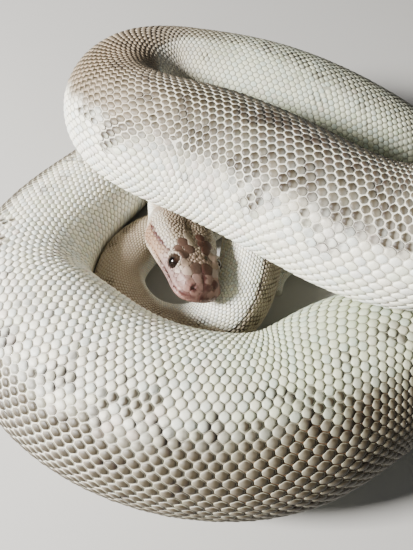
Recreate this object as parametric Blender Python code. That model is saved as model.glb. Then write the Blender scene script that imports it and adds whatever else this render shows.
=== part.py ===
"""A coiled ball python at rest, life size, built as closed solid lengths.

The spine is one smooth line through named stops and bends, from the nape to the
tip of the tail. Oval rings are strung along it, pressed flat where one length
lies against another or on the floor, and cut into lengths with thin seams.
The head is a loft of its own with a lower jaw, and the eyes sit in sockets.
"""
import math

import bmesh
import bpy
import numpy as np
from mathutils import Vector

# ---- named sizes, in millimetres -------------------------------------------
MM = 0.001
SIDES = 20           # flats around the body
RING_STEP = 0.52     # ring spacing as a share of the body's half width
SEAM = 0.3           # thin cut between two lengths
CONTACT = 0.4        # each side's clear gap where two lengths press together
CENTRE = (43.6, -6.5)  # plan point that becomes the model's origin
SPINE_STEP = 3.0     # spacing of the spine points that neighbours are tested against
NUDGE = 0.5          # half the stretch of spine that a ring's direction is read from
NEIGHBOUR = 2.6      # how far along the spine another length begins, in half widths
YIELDING = 4         # how much more the thinner of two touching lengths gives way
LEAST_SHARE = 0.3    # the most a ring may be pressed in
HALVINGS = 14        # steps of the search for the pressed surface

EYE_RADIUS = 3.3
EYE_GAP = 0.3
EYE_AT = (16.4, 9.0, 5.2)   # behind the snout, to the side, above the mouth
BALL_SIDES = 14
BALL_RINGS = 9
MOUTH_GAP = 0.3
HEAD_FLATS = 12      # flats over the crown, and as many under the chin
BROAD = 0.82         # below 1 the head's section is squarer than an oval
JAW_SHARE = 0.95     # the lower jaw's width beside the upper's

SNOUT = (6.8, -37.1, 36.0)  # tip of the snout on the mouth line
HEAD_AIM = (0.273, -0.946, 0.174)
HEAD_ROLL = 28.0            # crown leans over to the right
NECK_SEAM = 50.0            # head length, snout to the neck's cut

TRUNK = (0.78, 0.74, 0.66)
CROWN = (0.66, 0.52, 0.46)
JAW = (0.76, 0.66, 0.60)
EYE = (0.05, 0.03, 0.02)

# behind the snout, half width, crown above the mouth, chin below the mouth
HEAD_FORM = (
    (0.5, 4.8, 2.6, 1.6), (1.8, 7.8, 4.4, 2.6), (4.5, 9.9, 6.2, 3.8),
    (9.0, 11.0, 7.8, 4.8), (14.0, 11.5, 9.2, 5.4), (19.0, 12.6, 10.2, 6.0),
    (25.0, 14.2, 10.8, 6.8), (31.0, 15.6, 11.0, 7.6), (37.0, 16.0, 10.9, 8.2),
    (43.0, 14.0, 10.3, 8.0), (NECK_SEAM, 11.0, 9.7, 7.6),
)


def arc(centre, radius, start, sweep, heights, girths, steps, tilt=0.0):
    """Stops on a bend: round `centre`, from angle `start` through `sweep`."""
    stops = []
    for step in range(steps + 1):
        share = step / steps
        angle = math.radians(start + sweep * share)
        out = radius * math.sin(angle)
        lean = math.radians(tilt)
        height = heights[0] + (heights[1] - heights[0]) * share
        wide = girths[0] + (girths[1] - girths[0]) * share
        stops.append((centre[0] + radius * math.cos(angle),
                      centre[1] + out * math.cos(lean),
                      height + out * math.sin(lean), wide, wide * girths[2]))
    return stops


# Each stretch: name, how many lengths it is cut into, its stops.
# A stop is x, y, z, width, height.
ROUTE = (
    ("neck", 1, [(-6.9, 11.2, 28.0, 21.4, 17.4), (-8.2, 15.8, 27.3, 20.0, 17.4)]),
    ("neck_loop", 2, arc((4.5, 30.0), 11.7, 176, -250, (29.4, 10.0),
                         (18.2, 19.6, 1.0), 6)),
    ("fore_coil", 4, [(-8.8, 15.6, 9.8, 20.2, 19.4), (-23.4, 4.6, 11.8, 23.0, 23.4),
                      (-31.2, -12.0, 12.4, 23.8, 24.4), (-23.0, -30.4, 12.3, 22.8, 23.8),
                      (-1.5, -40.0, 13.0, 23.8, 25.2), (17.2, -34.2, 15.2, 27.2, 27.4),
                      (27.0, -16.9, 16.8, 28.6, 28.4), (30.3, -0.6, 17.3, 29.4, 29.0)]),
    ("inner_coil", 4, arc((4.5, 50.5), 37.0, -24, 204, (15.2, 18.2),
                          (32.5, 43.0, 0.9), 5)),
    ("great_coil", 6, [(-41.4, 36.5, 19.8, 44.0, 40.0), (-60.4, 9.3, 22.4, 49.0, 45.0),
                       (-67.8, -26.4, 25.6, 57.5, 52.0), (-51.8, -53.8, 27.6, 68.0, 56.0),
                       (-25.9, -73.8, 28.6, 70.5, 58.0), (7.8, -84.3, 29.0, 70.0, 59.0),
                       (42.6, -80.8, 29.0, 68.0, 59.0), (70.0, -65.8, 29.6, 66.0, 59.5),
                       (96.0, -60.4, 28.8, 60.0, 57.0)]),
    ("right_fold", 3, arc((124.0, -44.0), 32.5, -76, 150, (55.4, 57.0),
                          (57.4, 53.0, 0.97), 4, tilt=60.0)),
    ("crossing", 3, [(105.0, -31.4, 82.8, 53.0, 51.0), (82.0, -32.2, 75.6, 52.0, 51.0),
                     (44.0, -12.8, 73.0, 52.6, 52.0), (6.5, 10.9, 71.5, 52.0, 52.0)]),
    ("left_fold", 3, arc((-2.2, 44.2), 26.0, 230, -127, (70.5, 57.2),
                         (48.5, 44.5, 1.0), 4)),
    ("back_length", 2, [(6.6, 69.6, 55.8, 44.0, 44.0), (29.3, 64.0, 55.6, 44.0, 44.0),
                        (75.3, 47.7, 48.5, 42.0, 42.0), (98.2, 36.8, 42.0, 39.5, 39.5)]),
    ("vent_turn", 4, arc((102.0, 9.5), 22.0, 58, -175, (36.5, 12.0),
                         (36.5, 24.5, 0.98), 5)),
    ("tail", 3, [(78.5, -2.6, 10.0, 20.6, 20.4), (66.0, 2.6, 8.4, 16.6, 16.4),
                 (54.0, 2.4, 6.4, 12.8, 12.6), (46.2, -3.0, 4.7, 9.4, 9.4),
                 (42.8, -10.8, 3.2, 6.4, 6.4), (43.6, -17.8, 2.4, 2.6, 2.6)]),
)


# ---- the spine ---------------------------------------------------------------
def spline(stops):
    """Natural cubic curve through the stops, and the length at each stop."""
    points = np.array(stops, float)
    knot = np.concatenate([[0.0], np.cumsum(
        np.linalg.norm(np.diff(points[:, :3], axis=0), axis=1))])
    gap = np.diff(knot)
    count = len(knot)
    system = np.eye(count)
    right = np.zeros_like(points)
    for row in range(1, count - 1):
        system[row, row - 1:row + 2] = gap[row - 1], 2 * (gap[row - 1] + gap[row]), gap[row]
        right[row] = 6 * ((points[row + 1] - points[row]) / gap[row]
                          - (points[row] - points[row - 1]) / gap[row - 1])
    bend = np.linalg.solve(system, right)

    def at(length):
        left = int(np.clip(np.searchsorted(knot, length, side="right") - 1, 0, count - 2))
        a = knot[left + 1] - length
        b = length - knot[left]
        h = gap[left]
        return ((bend[left] * a ** 3 + bend[left + 1] * b ** 3) / (6 * h)
                + (points[left] / h - bend[left] * h / 6) * a
                + (points[left + 1] / h - bend[left + 1] * h / 6) * b)

    return knot, at


def frames(centres):
    """Travel, side and top directions of each ring."""
    travel = np.gradient(centres, axis=0)
    travel /= np.linalg.norm(travel, axis=1)[:, None]
    side = np.cross(travel, (0.0, 0.0, 1.0))
    side /= np.linalg.norm(side, axis=1)[:, None]
    return travel, side, np.cross(side, travel)


def press(rings, lengths, spine, spine_lengths):
    """Draw ring points in until they clear the other lengths they meet.

    The thinner of two lengths gives way to the thicker one.
    """
    travel, side, top = frames(spine[:, :3])
    share = np.ones(rings["ray"].shape[:2])
    for index, (centre, rays) in enumerate(zip(rings["centre"], rings["ray"])):
        reach = float(np.max(np.linalg.norm(rays, axis=1)))
        apart = np.abs(spine_lengths - lengths[index])
        near = (apart > NEIGHBOUR * np.maximum(reach, spine[:, 3] / 2) + 2) & (
            np.linalg.norm(spine[:, :3] - centre, axis=1) < reach + spine[:, 3])
        if not near.any():
            continue
        other = spine[near]
        half = other[:, 3] / 2
        yields = (reach / half) ** YIELDING
        low = np.full(len(rays), LEAST_SHARE)
        high = np.ones(len(rays))
        for _ in range(HALVINGS):
            middle = (low + high) / 2
            offset = (centre + rays * middle[:, None])[:, None, :] - other[None, :, :3]
            field = np.sqrt((np.sum(offset * side[near], 2) / half) ** 2
                            + (np.sum(offset * top[near], 2) / (other[:, 4] / 2)) ** 2
                            + (np.sum(offset * travel[near], 2) / half) ** 2)
            spare = (field - middle[:, None] ** yields) * half
            clear = spare.min(axis=1) > CONTACT
            low = np.where(clear, middle, low)
            high = np.where(clear, high, middle)
        share[index] = np.where(high > 0.999, 1.0, low)
    return share


# ---- solids ---------------------------------------------------------------------
def solid(name, loops, colour):
    """Closed body skinned over loops of points, with a fan cap at each end."""
    mesh = bpy.data.meshes.new(name)
    form = bmesh.new()
    rows = [[form.verts.new(Vector(point) * MM) for point in loop] for loop in loops]
    count = len(rows[0])
    for first, second in zip(rows, rows[1:]):
        for k in range(count):
            form.faces.new((first[k], first[(k + 1) % count],
                            second[(k + 1) % count], second[k]))
    for row, turn in ((rows[0], -1), (rows[-1], 1)):
        middle = form.verts.new(sum((v.co for v in row), Vector()) / count)
        for k in range(count):
            pair = (row[k], row[(k + 1) % count])
            form.faces.new((middle, *pair[::turn]))
    bmesh.ops.triangulate(form, faces=form.faces[:])
    bmesh.ops.recalc_face_normals(form, faces=form.faces[:])
    form.to_mesh(mesh)
    form.free()
    body = bpy.data.objects.new(name, mesh)
    bpy.context.collection.objects.link(body)
    paint(body, colour)
    return body


def paint(body, colour):
    """One plain Principled material of its own."""
    material = bpy.data.materials.new(body.name + "_skin")
    material.use_nodes = True
    shader = material.node_tree.nodes["Principled BSDF"]
    shader.inputs["Base Color"].default_value = (*colour, 1.0)
    shader.inputs["Roughness"].default_value = 0.45
    body.data.materials.clear()
    body.data.materials.append(material)


def build_body():
    """All lengths of neck, trunk and tail."""
    stops = [stop for _, _, group in ROUTE for stop in group]
    knot, at = spline(stops)
    spine_lengths = np.arange(0.0, knot[-1], SPINE_STEP)
    spine = np.array([at(length) for length in spine_lengths])
    passed = 0
    for name, pieces, group in ROUTE:
        start = knot[passed] if passed == 0 else (knot[passed - 1] + knot[passed]) / 2
        passed += len(group)
        end = knot[-1] if passed == len(knot) else (knot[passed - 1] + knot[passed]) / 2
        for piece in range(pieces):
            low = start + (end - start) * piece / pieces + SEAM / 2
            high = start + (end - start) * (piece + 1) / pieces - SEAM / 2
            half = at((low + high) / 2)[3] / 2
            count = max(2, int(math.ceil((high - low) / (RING_STEP * half))))
            label = name if pieces == 1 else "%s_%d" % (name, piece + 1)
            build_length(label, at, np.linspace(low, high, count + 1), spine, spine_lengths)


def build_length(name, at, lengths, spine, spine_lengths):
    """One length: its rings, pressed clear of the others and set on the floor."""
    rows = np.array([at(length) for length in lengths])
    ahead = np.array([at(length + NUDGE)[:3] for length in lengths])
    behind = np.array([at(length - NUDGE)[:3] for length in lengths])
    travel = (ahead - behind) / np.linalg.norm(ahead - behind, axis=1)[:, None]
    side = np.cross(travel, (0.0, 0.0, 1.0))
    side /= np.linalg.norm(side, axis=1)[:, None]
    top = np.cross(side, travel)
    angle = np.linspace(0, 2 * math.pi, SIDES, endpoint=False) + math.pi / SIDES
    rays = (side[:, None] * (rows[:, 3] / 2)[:, None, None] * np.cos(angle)[None, :, None]
            + top[:, None] * (rows[:, 4] / 2)[:, None, None] * np.sin(angle)[None, :, None])
    rings = {"centre": rows[:, :3], "ray": rays}
    share = press(rings, lengths, spine, spine_lengths)
    points = rows[:, None, :3] + rays * share[:, :, None]
    points[..., 2] = np.maximum(points[..., 2], 0.0)
    points[..., :2] -= CENTRE
    solid(name, points, TRUNK)


def head_frame():
    """Aim, crown and right-hand directions of the head."""
    aim = Vector(HEAD_AIM).normalized()
    crown = (Vector((0, 0, 1)) - aim * aim.z).normalized()
    right = aim.cross(crown)
    lean = math.radians(HEAD_ROLL)
    crown = crown * math.cos(lean) - right * math.sin(lean)
    return aim, crown, aim.cross(crown)


def head_point(behind, aside, above):
    """A point given in the head's own directions, in the model's frame."""
    aim, crown, right = head_frame()
    point = Vector(SNOUT) - aim * behind + right * aside + crown * above
    return point - Vector((*CENTRE, 0.0))


def build_head():
    """Upper head and lower jaw as two lofts that meet at the mouth line."""
    upper, lower = [], []
    turns = [math.pi * k / HEAD_FLATS for k in range(HEAD_FLATS + 1)]
    arch = [(math.copysign(abs(math.cos(turn)) ** BROAD, math.cos(turn)),
             math.sin(turn) ** BROAD) for turn in turns]
    for behind, half, crown, chin in HEAD_FORM:
        upper.append([head_point(behind, half * aside, MOUTH_GAP / 2 + crown * rise)
                      for aside, rise in arch])
        lower.append([head_point(behind, JAW_SHARE * half * aside,
                                 -MOUTH_GAP / 2 - chin * rise) for aside, rise in arch])
    skull = solid("head", upper, CROWN)
    solid("lower_jaw", lower, JAW)
    for name, hand in (("eye_right", 1), ("eye_left", -1)):
        seat = head_point(EYE_AT[0], EYE_AT[1] * hand, EYE_AT[2]) * MM
        carve(skull, ball(name + "_socket", seat, EYE_RADIUS + EYE_GAP))
        paint(ball(name, seat, EYE_RADIUS), EYE)


def ball(name, seat, radius):
    """A faceted ball at a place given in metres."""
    mesh = bpy.data.meshes.new(name)
    form = bmesh.new()
    bmesh.ops.create_uvsphere(form, u_segments=BALL_SIDES, v_segments=BALL_RINGS,
                              radius=radius * MM)
    bmesh.ops.translate(form, verts=form.verts[:], vec=seat)
    bmesh.ops.triangulate(form, faces=form.faces[:])
    form.to_mesh(mesh)
    form.free()
    body = bpy.data.objects.new(name, mesh)
    bpy.context.collection.objects.link(body)
    return body


def carve(body, tool):
    """Cut the tool's shape out of the body and drop the tool."""
    cut = body.modifiers.new("socket", "BOOLEAN")
    cut.operation = "DIFFERENCE"
    cut.solver = "EXACT"
    cut.object = tool
    bpy.context.view_layer.objects.active = body
    bpy.ops.object.modifier_apply(modifier=cut.name)
    bpy.data.objects.remove(tool)


for leftover in list(bpy.data.objects):
    bpy.data.objects.remove(leftover)
build_head()
build_body()
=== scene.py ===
# %% [markdown]
# # A ball python, coiled and at rest
#
# A life-size model for a shelf or a plinth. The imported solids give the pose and
# the sizes. This script dresses them: one skin from the snout to the tip of the
# tail, about twenty-seven thousand scales that lie on it, belly plates, head
# plates and a pair of eyes. Everything is in metres, +Z up, in the solids' own frame.

# %% Load the frame
import math
from functools import partial

import bpy
import numpy as np
from mathutils import Matrix, Vector
from mathutils.bvhtree import BVHTree


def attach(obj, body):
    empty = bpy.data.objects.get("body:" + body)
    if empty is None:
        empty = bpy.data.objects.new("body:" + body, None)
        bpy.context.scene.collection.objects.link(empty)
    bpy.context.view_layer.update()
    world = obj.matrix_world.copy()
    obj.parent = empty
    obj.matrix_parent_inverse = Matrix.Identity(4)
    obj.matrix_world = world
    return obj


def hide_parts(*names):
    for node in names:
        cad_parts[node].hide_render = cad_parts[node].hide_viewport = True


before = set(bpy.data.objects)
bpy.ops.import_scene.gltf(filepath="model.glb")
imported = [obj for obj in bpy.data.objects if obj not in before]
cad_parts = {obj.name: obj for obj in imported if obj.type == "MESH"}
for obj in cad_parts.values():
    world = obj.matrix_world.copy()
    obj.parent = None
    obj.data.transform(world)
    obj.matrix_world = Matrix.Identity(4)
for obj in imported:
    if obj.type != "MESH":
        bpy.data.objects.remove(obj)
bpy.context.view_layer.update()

MM = 0.001

# %% [markdown]
# The camera stands above and in front of the coil and looks steeply down at it.
# Its lens is given for a 36 mm sensor along the tall side of the frame.

# %% Camera
CAMERA_AT = (-0.034507, -0.14148, 0.249427)
CAMERA_TILT = 30.0          # degrees away from straight down

bpy.ops.object.select_all(action="DESELECT")
bpy.ops.object.camera_add(location=CAMERA_AT, rotation=(math.radians(CAMERA_TILT), 0.0, 0.0))
camera = bpy.context.object
camera.name = "camera"
camera.data.lens = 38.618
camera.data.sensor_width = 36.0
camera.data.clip_start = 0.005
camera.data.clip_end = 10.0
bpy.context.scene.camera = camera
print("camera: %.1f mm lens, %.0f degrees from straight down" % (camera.data.lens, CAMERA_TILT))


# %% [markdown]
# Every material here is a small tree of nodes, and the same few kinds of node come
# back all the time: a mix of two colours, a sum, a soft step. One helper for each
# keeps the materials short, and lets an input be a plain value or another node.

# %% Node helpers
def node(tree, kind, **values):
    """A new node; values are given by input name, properties by attribute name."""
    made = tree.nodes.new(kind)
    for name, value in values.items():
        if hasattr(made, name):
            setattr(made, name, value)
        else:
            made.inputs[name.replace("_", " ")].default_value = value
    return made


def feed(tree, socket, value):
    """Link a socket to another, or set a plain number or colour on it."""
    if isinstance(value, bpy.types.NodeSocket):
        tree.links.new(value, socket)
    else:
        socket.default_value = value


def blend_of(tree, factor, first, second, how="MIX"):
    """Colour mix of two colours; each may be a socket or a plain colour."""
    made = node(tree, "ShaderNodeMix", data_type="RGBA", blend_type=how)
    for index, value in ((0, factor), (6, first), (7, second)):
        feed(tree, made.inputs[index], value)
    return made.outputs[2]


def sum_of(tree, how, *values):
    """A Math node's result for one, two or three values."""
    made = node(tree, "ShaderNodeMath", operation=how)
    for socket, value in zip(made.inputs, values):
        feed(tree, socket, value)
    return made.outputs[0]


def slope_of(tree, value, low, high, first=0.0, last=1.0):
    """Smooth step of a value from `low` to `high`, giving `first` to `last`."""
    made = node(tree, "ShaderNodeMapRange", interpolation_type="SMOOTHSTEP")
    for socket, number in zip(made.inputs, (value, low, high, first, last)):
        feed(tree, socket, number)
    return made.outputs[0]


def parts_of(tree, colour):
    """The three numbers that a colour carries."""
    made = node(tree, "ShaderNodeSeparateColor")
    feed(tree, made.inputs[0], colour)
    return made.outputs


def tint(red, green, blue):
    """A colour given in everyday 0 to 255 steps, as the shader wants it."""
    def straight(value):
        share = value / 255.0
        return share / 12.92 if share <= 0.04045 else ((share + 0.055) / 1.055) ** 2.4
    return (straight(red), straight(green), straight(blue), 1.0)


def new_material(name):
    """A material, its node tree and its Principled shader."""
    material = bpy.data.materials.new(name)
    material.use_nodes = True
    return material, material.node_tree, material.node_tree.nodes["Principled BSDF"]


print("ivory, as the shader reads it:", [round(v, 3) for v in tint(238, 234, 216)])


# %% [markdown]
# A pale floor runs under everything. The key light is a wide soft panel high on
# the left, as from a window, so that each domed scale gets a bright upper-left
# side and a shaded lower-right one. A weaker panel and the world's own light
# fill the shadows.

# %% Floor and lights
LIGHTS_AIM = (0, 0, 0.04)
# place, side of the square (m), watts and colour of each panel
PANELS = {"key_light": ((-0.82, -0.20, 0.57), 0.18, 46.0, (1.0, 0.985, 0.96)),
          "fill_light": ((0.9, -0.9, 0.9), 1.2, 1.0, (0.95, 0.97, 1.0))}
SKY_COLOUR = (0.93, 0.95, 1.0, 1)
SKY_STRENGTH = 0.13


def floor_material():
    """Warm pale grey, a little uneven, without gloss."""
    material, tree, shader = new_material("pale_floor")
    where = node(tree, "ShaderNodeTexCoord")
    cloud = node(tree, "ShaderNodeTexNoise", Scale=6.0, Detail=6.0)
    feed(tree, cloud.inputs["Vector"], where.outputs["Object"])
    feed(tree, shader.inputs["Base Color"],
         blend_of(tree, cloud.outputs["Fac"], tint(168, 167, 164), tint(178, 176, 172)))
    shader.inputs["Roughness"].default_value = 0.7
    return material


bpy.ops.object.select_all(action="DESELECT")
bpy.ops.mesh.primitive_plane_add(size=6.0, location=(0, 0, 0))
floor = bpy.context.object
floor.name = "floor"
floor.data.materials.append(floor_material())

for name, (place, size, watts, colour) in PANELS.items():
    bpy.ops.object.light_add(type="AREA", location=place)
    panel = bpy.context.object
    panel.name = name
    facing = Vector(LIGHTS_AIM) - Vector(place)
    panel.rotation_euler = facing.to_track_quat("-Z", "Y").to_euler()
    panel.data.shape = "SQUARE"
    panel.data.size = size
    panel.data.energy = watts
    panel.data.color = colour
world = bpy.data.worlds.new("studio")
world.use_nodes = True
world.node_tree.nodes["Background"].inputs["Color"].default_value = SKY_COLOUR
world.node_tree.nodes["Background"].inputs["Strength"].default_value = SKY_STRENGTH
bpy.context.scene.world = world
print("floor and", len(PANELS), "panels")

# %% [markdown]
# The body lies along one smooth line. The line's stops are the ones that the
# solids were built from, in millimetres: place, width and height. Bends that are
# arcs are worked out from their centre, radius and sweep.

# %% The body's route
CENTRE = (43.6, -6.5)       # plan point that is the model's origin


def arc(centre, radius, start, sweep, heights, girths, steps, tilt=0.0):
    """Stops on a bend: round `centre`, from angle `start` through `sweep`.

    `heights` holds the height at both ends, `girths` the width at both ends and
    the body's height as a share of its width.
    """
    stops = []
    lean = math.radians(tilt)
    for step in range(steps + 1):
        share = step / steps
        angle = math.radians(start + sweep * share)
        out = radius * math.sin(angle)
        height = heights[0] + (heights[1] - heights[0]) * share
        wide = girths[0] + (girths[1] - girths[0]) * share
        stops.append((centre[0] + radius * math.cos(angle), centre[1] + out * math.cos(lean),
                      height + out * math.sin(lean), wide, wide * girths[2]))
    return stops


ROUTE = {
    "neck": [(-6.9, 11.2, 28.0, 21.4, 17.4), (-8.2, 15.8, 27.3, 20.0, 17.4)],
    "neck_loop": arc((4.5, 30.0), 11.7, 176, -250, (29.4, 10.0), (18.2, 19.6, 1.0), 6),
    "fore_coil": [(-8.8, 15.6, 9.8, 20.2, 19.4), (-23.4, 4.6, 11.8, 23.0, 23.4),
                  (-31.2, -12.0, 12.4, 23.8, 24.4), (-23.0, -30.4, 12.3, 22.8, 23.8),
                  (-1.5, -40.0, 13.0, 23.8, 25.2), (17.2, -34.2, 15.2, 27.2, 27.4),
                  (27.0, -16.9, 16.8, 28.6, 28.4), (30.3, -0.6, 17.3, 29.4, 29.0)],
    "inner_coil": arc((4.5, 50.5), 37.0, -24, 204, (15.2, 18.2), (32.5, 43.0, 0.9), 5),
    "great_coil": [(-41.4, 36.5, 19.8, 44.0, 40.0), (-60.4, 9.3, 22.4, 49.0, 45.0),
                   (-67.8, -26.4, 25.6, 57.5, 52.0), (-51.8, -53.8, 27.6, 68.0, 56.0),
                   (-25.9, -73.8, 28.6, 70.5, 58.0), (7.8, -84.3, 29.0, 70.0, 59.0),
                   (42.6, -80.8, 29.0, 68.0, 59.0), (70.0, -65.8, 29.6, 66.0, 59.5),
                   (96.0, -60.4, 28.8, 60.0, 57.0)],
    "right_fold": arc((124.0, -44.0), 32.5, -76, 150, (55.4, 57.0), (57.4, 53.0, 0.97), 4,
                      tilt=60.0),
    "crossing": [(105.0, -31.4, 82.8, 53.0, 51.0), (82.0, -32.2, 75.6, 52.0, 51.0),
                 (44.0, -12.8, 73.0, 52.6, 52.0), (6.5, 10.9, 71.5, 52.0, 52.0)],
    "left_fold": arc((-2.2, 44.2), 26.0, 230, -127, (70.5, 57.2), (48.5, 44.5, 1.0), 4),
    "back_length": [(6.6, 69.6, 55.8, 44.0, 44.0), (29.3, 64.0, 55.6, 44.0, 44.0),
                    (75.3, 47.7, 48.5, 42.0, 42.0), (98.2, 36.8, 42.0, 39.5, 39.5)],
    "vent_turn": arc((102.0, 9.5), 22.0, 58, -175, (36.5, 12.0), (36.5, 24.5, 0.98), 5),
    "tail": [(78.5, -2.6, 10.0, 20.6, 20.4), (66.0, 2.6, 8.4, 16.6, 16.4),
             (54.0, 2.4, 6.4, 12.8, 12.6), (46.2, -3.0, 4.7, 9.4, 9.4),
             (42.8, -10.8, 3.2, 6.4, 6.4), (43.6, -17.8, 2.4, 2.6, 2.6)],
}
print("route:", {stretch: len(group) for stretch, group in ROUTE.items()})


# %% [markdown]
# A natural cubic curve joins the stops, because it bends evenly, as a backbone
# does. Its slope gives the travel direction at any length, and a side and a top
# direction follow from that. Each stretch gets a name and a length from the neck,
# and all that follows is placed by those.

# %% The body's line
def spline(stops):
    """Natural cubic curve through the stops, and the length at each stop."""
    points = np.array(stops, float)
    knot = np.concatenate([[0.0], np.cumsum(
        np.linalg.norm(np.diff(points[:, :3], axis=0), axis=1))])
    gap = np.diff(knot)
    count = len(knot)
    system = np.eye(count)
    right = np.zeros_like(points)
    for row in range(1, count - 1):
        system[row, row - 1:row + 2] = gap[row - 1], 2 * (gap[row - 1] + gap[row]), gap[row]
        right[row] = 6 * ((points[row + 1] - points[row]) / gap[row]
                          - (points[row] - points[row - 1]) / gap[row - 1])
    bend = np.linalg.solve(system, right)

    def curve_at(length):
        left = int(np.clip(np.searchsorted(knot, length, side="right") - 1, 0, count - 2))
        a = knot[left + 1] - length
        b = length - knot[left]
        h = gap[left]
        return ((bend[left] * a ** 3 + bend[left + 1] * b ** 3) / (6 * h)
                + (points[left] / h - bend[left] * h / 6) * a
                + (points[left + 1] / h - bend[left + 1] * h / 6) * b)

    return knot, curve_at


def frames(centres):
    """Travel, side and top directions of each ring."""
    travel = np.gradient(centres, axis=0)
    travel /= np.linalg.norm(travel, axis=1)[:, None]
    side = np.cross(travel, (0.0, 0.0, 1.0))
    side /= np.linalg.norm(side, axis=1)[:, None]
    return travel, side, np.cross(side, travel)


knot, line_at = spline([stop for group in ROUTE.values() for stop in group])
TRUNK = float(knot[-1])
starts, counted = {}, 0
for stretch, group in ROUTE.items():
    starts[stretch] = float(knot[counted])
    counted += len(group)
starts["fore_bottom"] = starts["fore_coil"] + 42.0
starts["fore_right"] = starts["fore_coil"] + 92.0
NECK_LOOP, FORE, FORE_RIGHT, INNER, GREAT = (
    starts[name] for name in ("neck_loop", "fore_coil", "fore_right", "inner_coil", "great_coil"))
RIGHT_FOLD, CROSSING, LEFT_FOLD, BACK, VENT, TAIL = (
    starts[name] for name in list(ROUTE)[-6:])
print("body line: %.0f mm, stretches at" % TRUNK, {k: round(v) for k, v in starts.items()})


# %% [markdown]
# Where two lengths of a heavy snake lie on each other, both flatten. So a ring's
# points are drawn in until they clear the ovals of every other length that they
# meet. Halving the distance again and again finds the place where they just touch.

# %% Pressing the lengths together
CONTACT = 0.4               # each side's clear gap where two lengths press together, mm
SPINE_STEP = 3.0            # mm between the ovals that a ring is tested against
NEIGHBOUR = 2.6             # ovals closer along the body than this many radii don't press
YIELDING = 4                # how much more the thinner of two lengths gives way
LEAST_SHARE = 0.3           # a point is never drawn in further than this
HALVINGS = 12
SPARE_GAP = 2               # mm


def press(centres, all_rays, lengths, spine, spine_lengths):
    """The share of its ray at which each ring point clears the lengths it meets."""
    travel, side, top = frames(spine[:, :3])
    share = np.ones(all_rays.shape[:2])
    for index, (centre, rays) in enumerate(zip(centres, all_rays)):
        reach = float(np.max(np.linalg.norm(rays, axis=1)))
        apart = np.abs(spine_lengths - lengths[index])
        near = (apart > NEIGHBOUR * np.maximum(reach, spine[:, 3] / 2) + SPARE_GAP) & (
            np.linalg.norm(spine[:, :3] - centre, axis=1) < reach + spine[:, 3])
        if not near.any():
            continue
        other = spine[near]
        half = other[:, 3] / 2
        yields = (reach / half) ** YIELDING
        low = np.full(len(rays), LEAST_SHARE)
        high = np.ones(len(rays))
        for _ in range(HALVINGS):
            middle = (low + high) / 2
            offset = (centre + rays * middle[:, None])[:, None, :] - other[None, :, :3]
            field = np.sqrt((np.sum(offset * side[near], 2) / half) ** 2
                            + (np.sum(offset * top[near], 2) / (other[:, 4] / 2)) ** 2
                            + (np.sum(offset * travel[near], 2) / half) ** 2)
            spare = (field - middle[:, None] ** yields) * half
            clear = spare.min(axis=1) > CONTACT
            low = np.where(clear, middle, low)
            high = np.where(clear, high, middle)
        share[index] = np.where(high > 0.999, 1.0, low)
    return share


print("press: gap %.1f mm on each side" % CONTACT)

# %% [markdown]
# The surface of the whole animal is worked out once, as a grid: rows run across
# the body from the snout to the tail, columns run along it. Column 0 is the belly,
# the middle column is the line of the back, and the angle round the body grows
# from the back towards the animal's left flank. The back doesn't stay on top: a
# coiled snake rolls as it bends, so `ROLL` says how far the line of the back leans
# at each stop.

# %% The body's rows
COLUMNS = 120               # around the body
ROUND = np.linspace(-math.pi, math.pi, COLUMNS, endpoint=False)
# stretch, then how far the back leans from the top at its start, degrees
ROLL = {"neck": 28, "neck_loop": 30, "fore_coil": 26, "fore_bottom": 34, "fore_right": 84,
        "inner_coil": 80, "great_coil": 75, "right_fold": 60, "crossing": 16, "left_fold": 8,
        "back_length": -48, "vent_turn": -30, "tail": 0}


def smooth(low, high, value):
    """0 below `low`, 1 above `high`, with an easy slope between."""
    share = np.clip((np.asarray(value, float) - low) / (high - low), 0.0, 1.0)
    return share * share * (3.0 - 2.0 * share)


def window(value, rise, full, fall, gone):
    """0 below `rise`, 1 from `full` to `fall`, and 0 again from `gone`."""
    return smooth(rise, full, value) * (1 - smooth(fall, gone, value))


def eased(length, lengths, values):
    """Values between stops, changed with an easy slope."""
    place = np.interp(length, lengths, np.arange(len(lengths)))
    low = np.minimum(place.astype(int), len(lengths) - 2)
    share = smooth(0.0, 1.0, place - low)
    values = np.asarray(values, float)
    return values[low] * (1 - share) + values[low + 1] * share


def body_rows(lengths):
    """Rows of surface points of the body, pressed where two lengths meet."""
    spine_lengths = np.arange(0.0, TRUNK, SPINE_STEP)
    spine = np.array([line_at(length) for length in spine_lengths])
    rows = np.array([line_at(length) for length in lengths])
    _, side, top = frames(rows[:, :3])
    roll = eased(lengths, [starts[name] for name in ROLL] + [TRUNK], [*ROLL.values(), 0.0])
    turn = (math.pi / 2 - np.radians(roll))[:, None] - ROUND[None, :]
    rays = (side[:, None] * (rows[:, 3] / 2)[:, None, None] * np.cos(turn)[..., None]
            + top[:, None] * (rows[:, 4] / 2)[:, None, None] * np.sin(turn)[..., None])
    share = press(rows[:, :3], rays, lengths, spine, spine_lengths)
    for _ in range(2):
        share = (np.roll(share, 1, 1) + 2 * share + np.roll(share, -1, 1)) / 4
    points = rows[:, None, :3] + rays * share[..., None]
    points[..., 2] = np.maximum(points[..., 2], 0.0)
    points[..., :2] -= CENTRE
    return points


print("rolls:", ROLL)

# %% [markdown]
# The head's rows are ovals that are a little squarer than a true oval. Their
# sizes follow the distance from the snout by its square root, which rounds the
# tip. All of the head is described by three numbers: how far behind the snout,
# how far to its left, and how far above the mouth.

# %% The head's rows
SNOUT = (6.8, -37.1, 36.0)
HEAD_AIM = (0.273, -0.946, 0.174)
HEAD_ROLL = 28.0
HEAD_LENGTH = 50.0
SQUARENESS = 0.82           # 1 is a true oval, less is squarer
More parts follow.
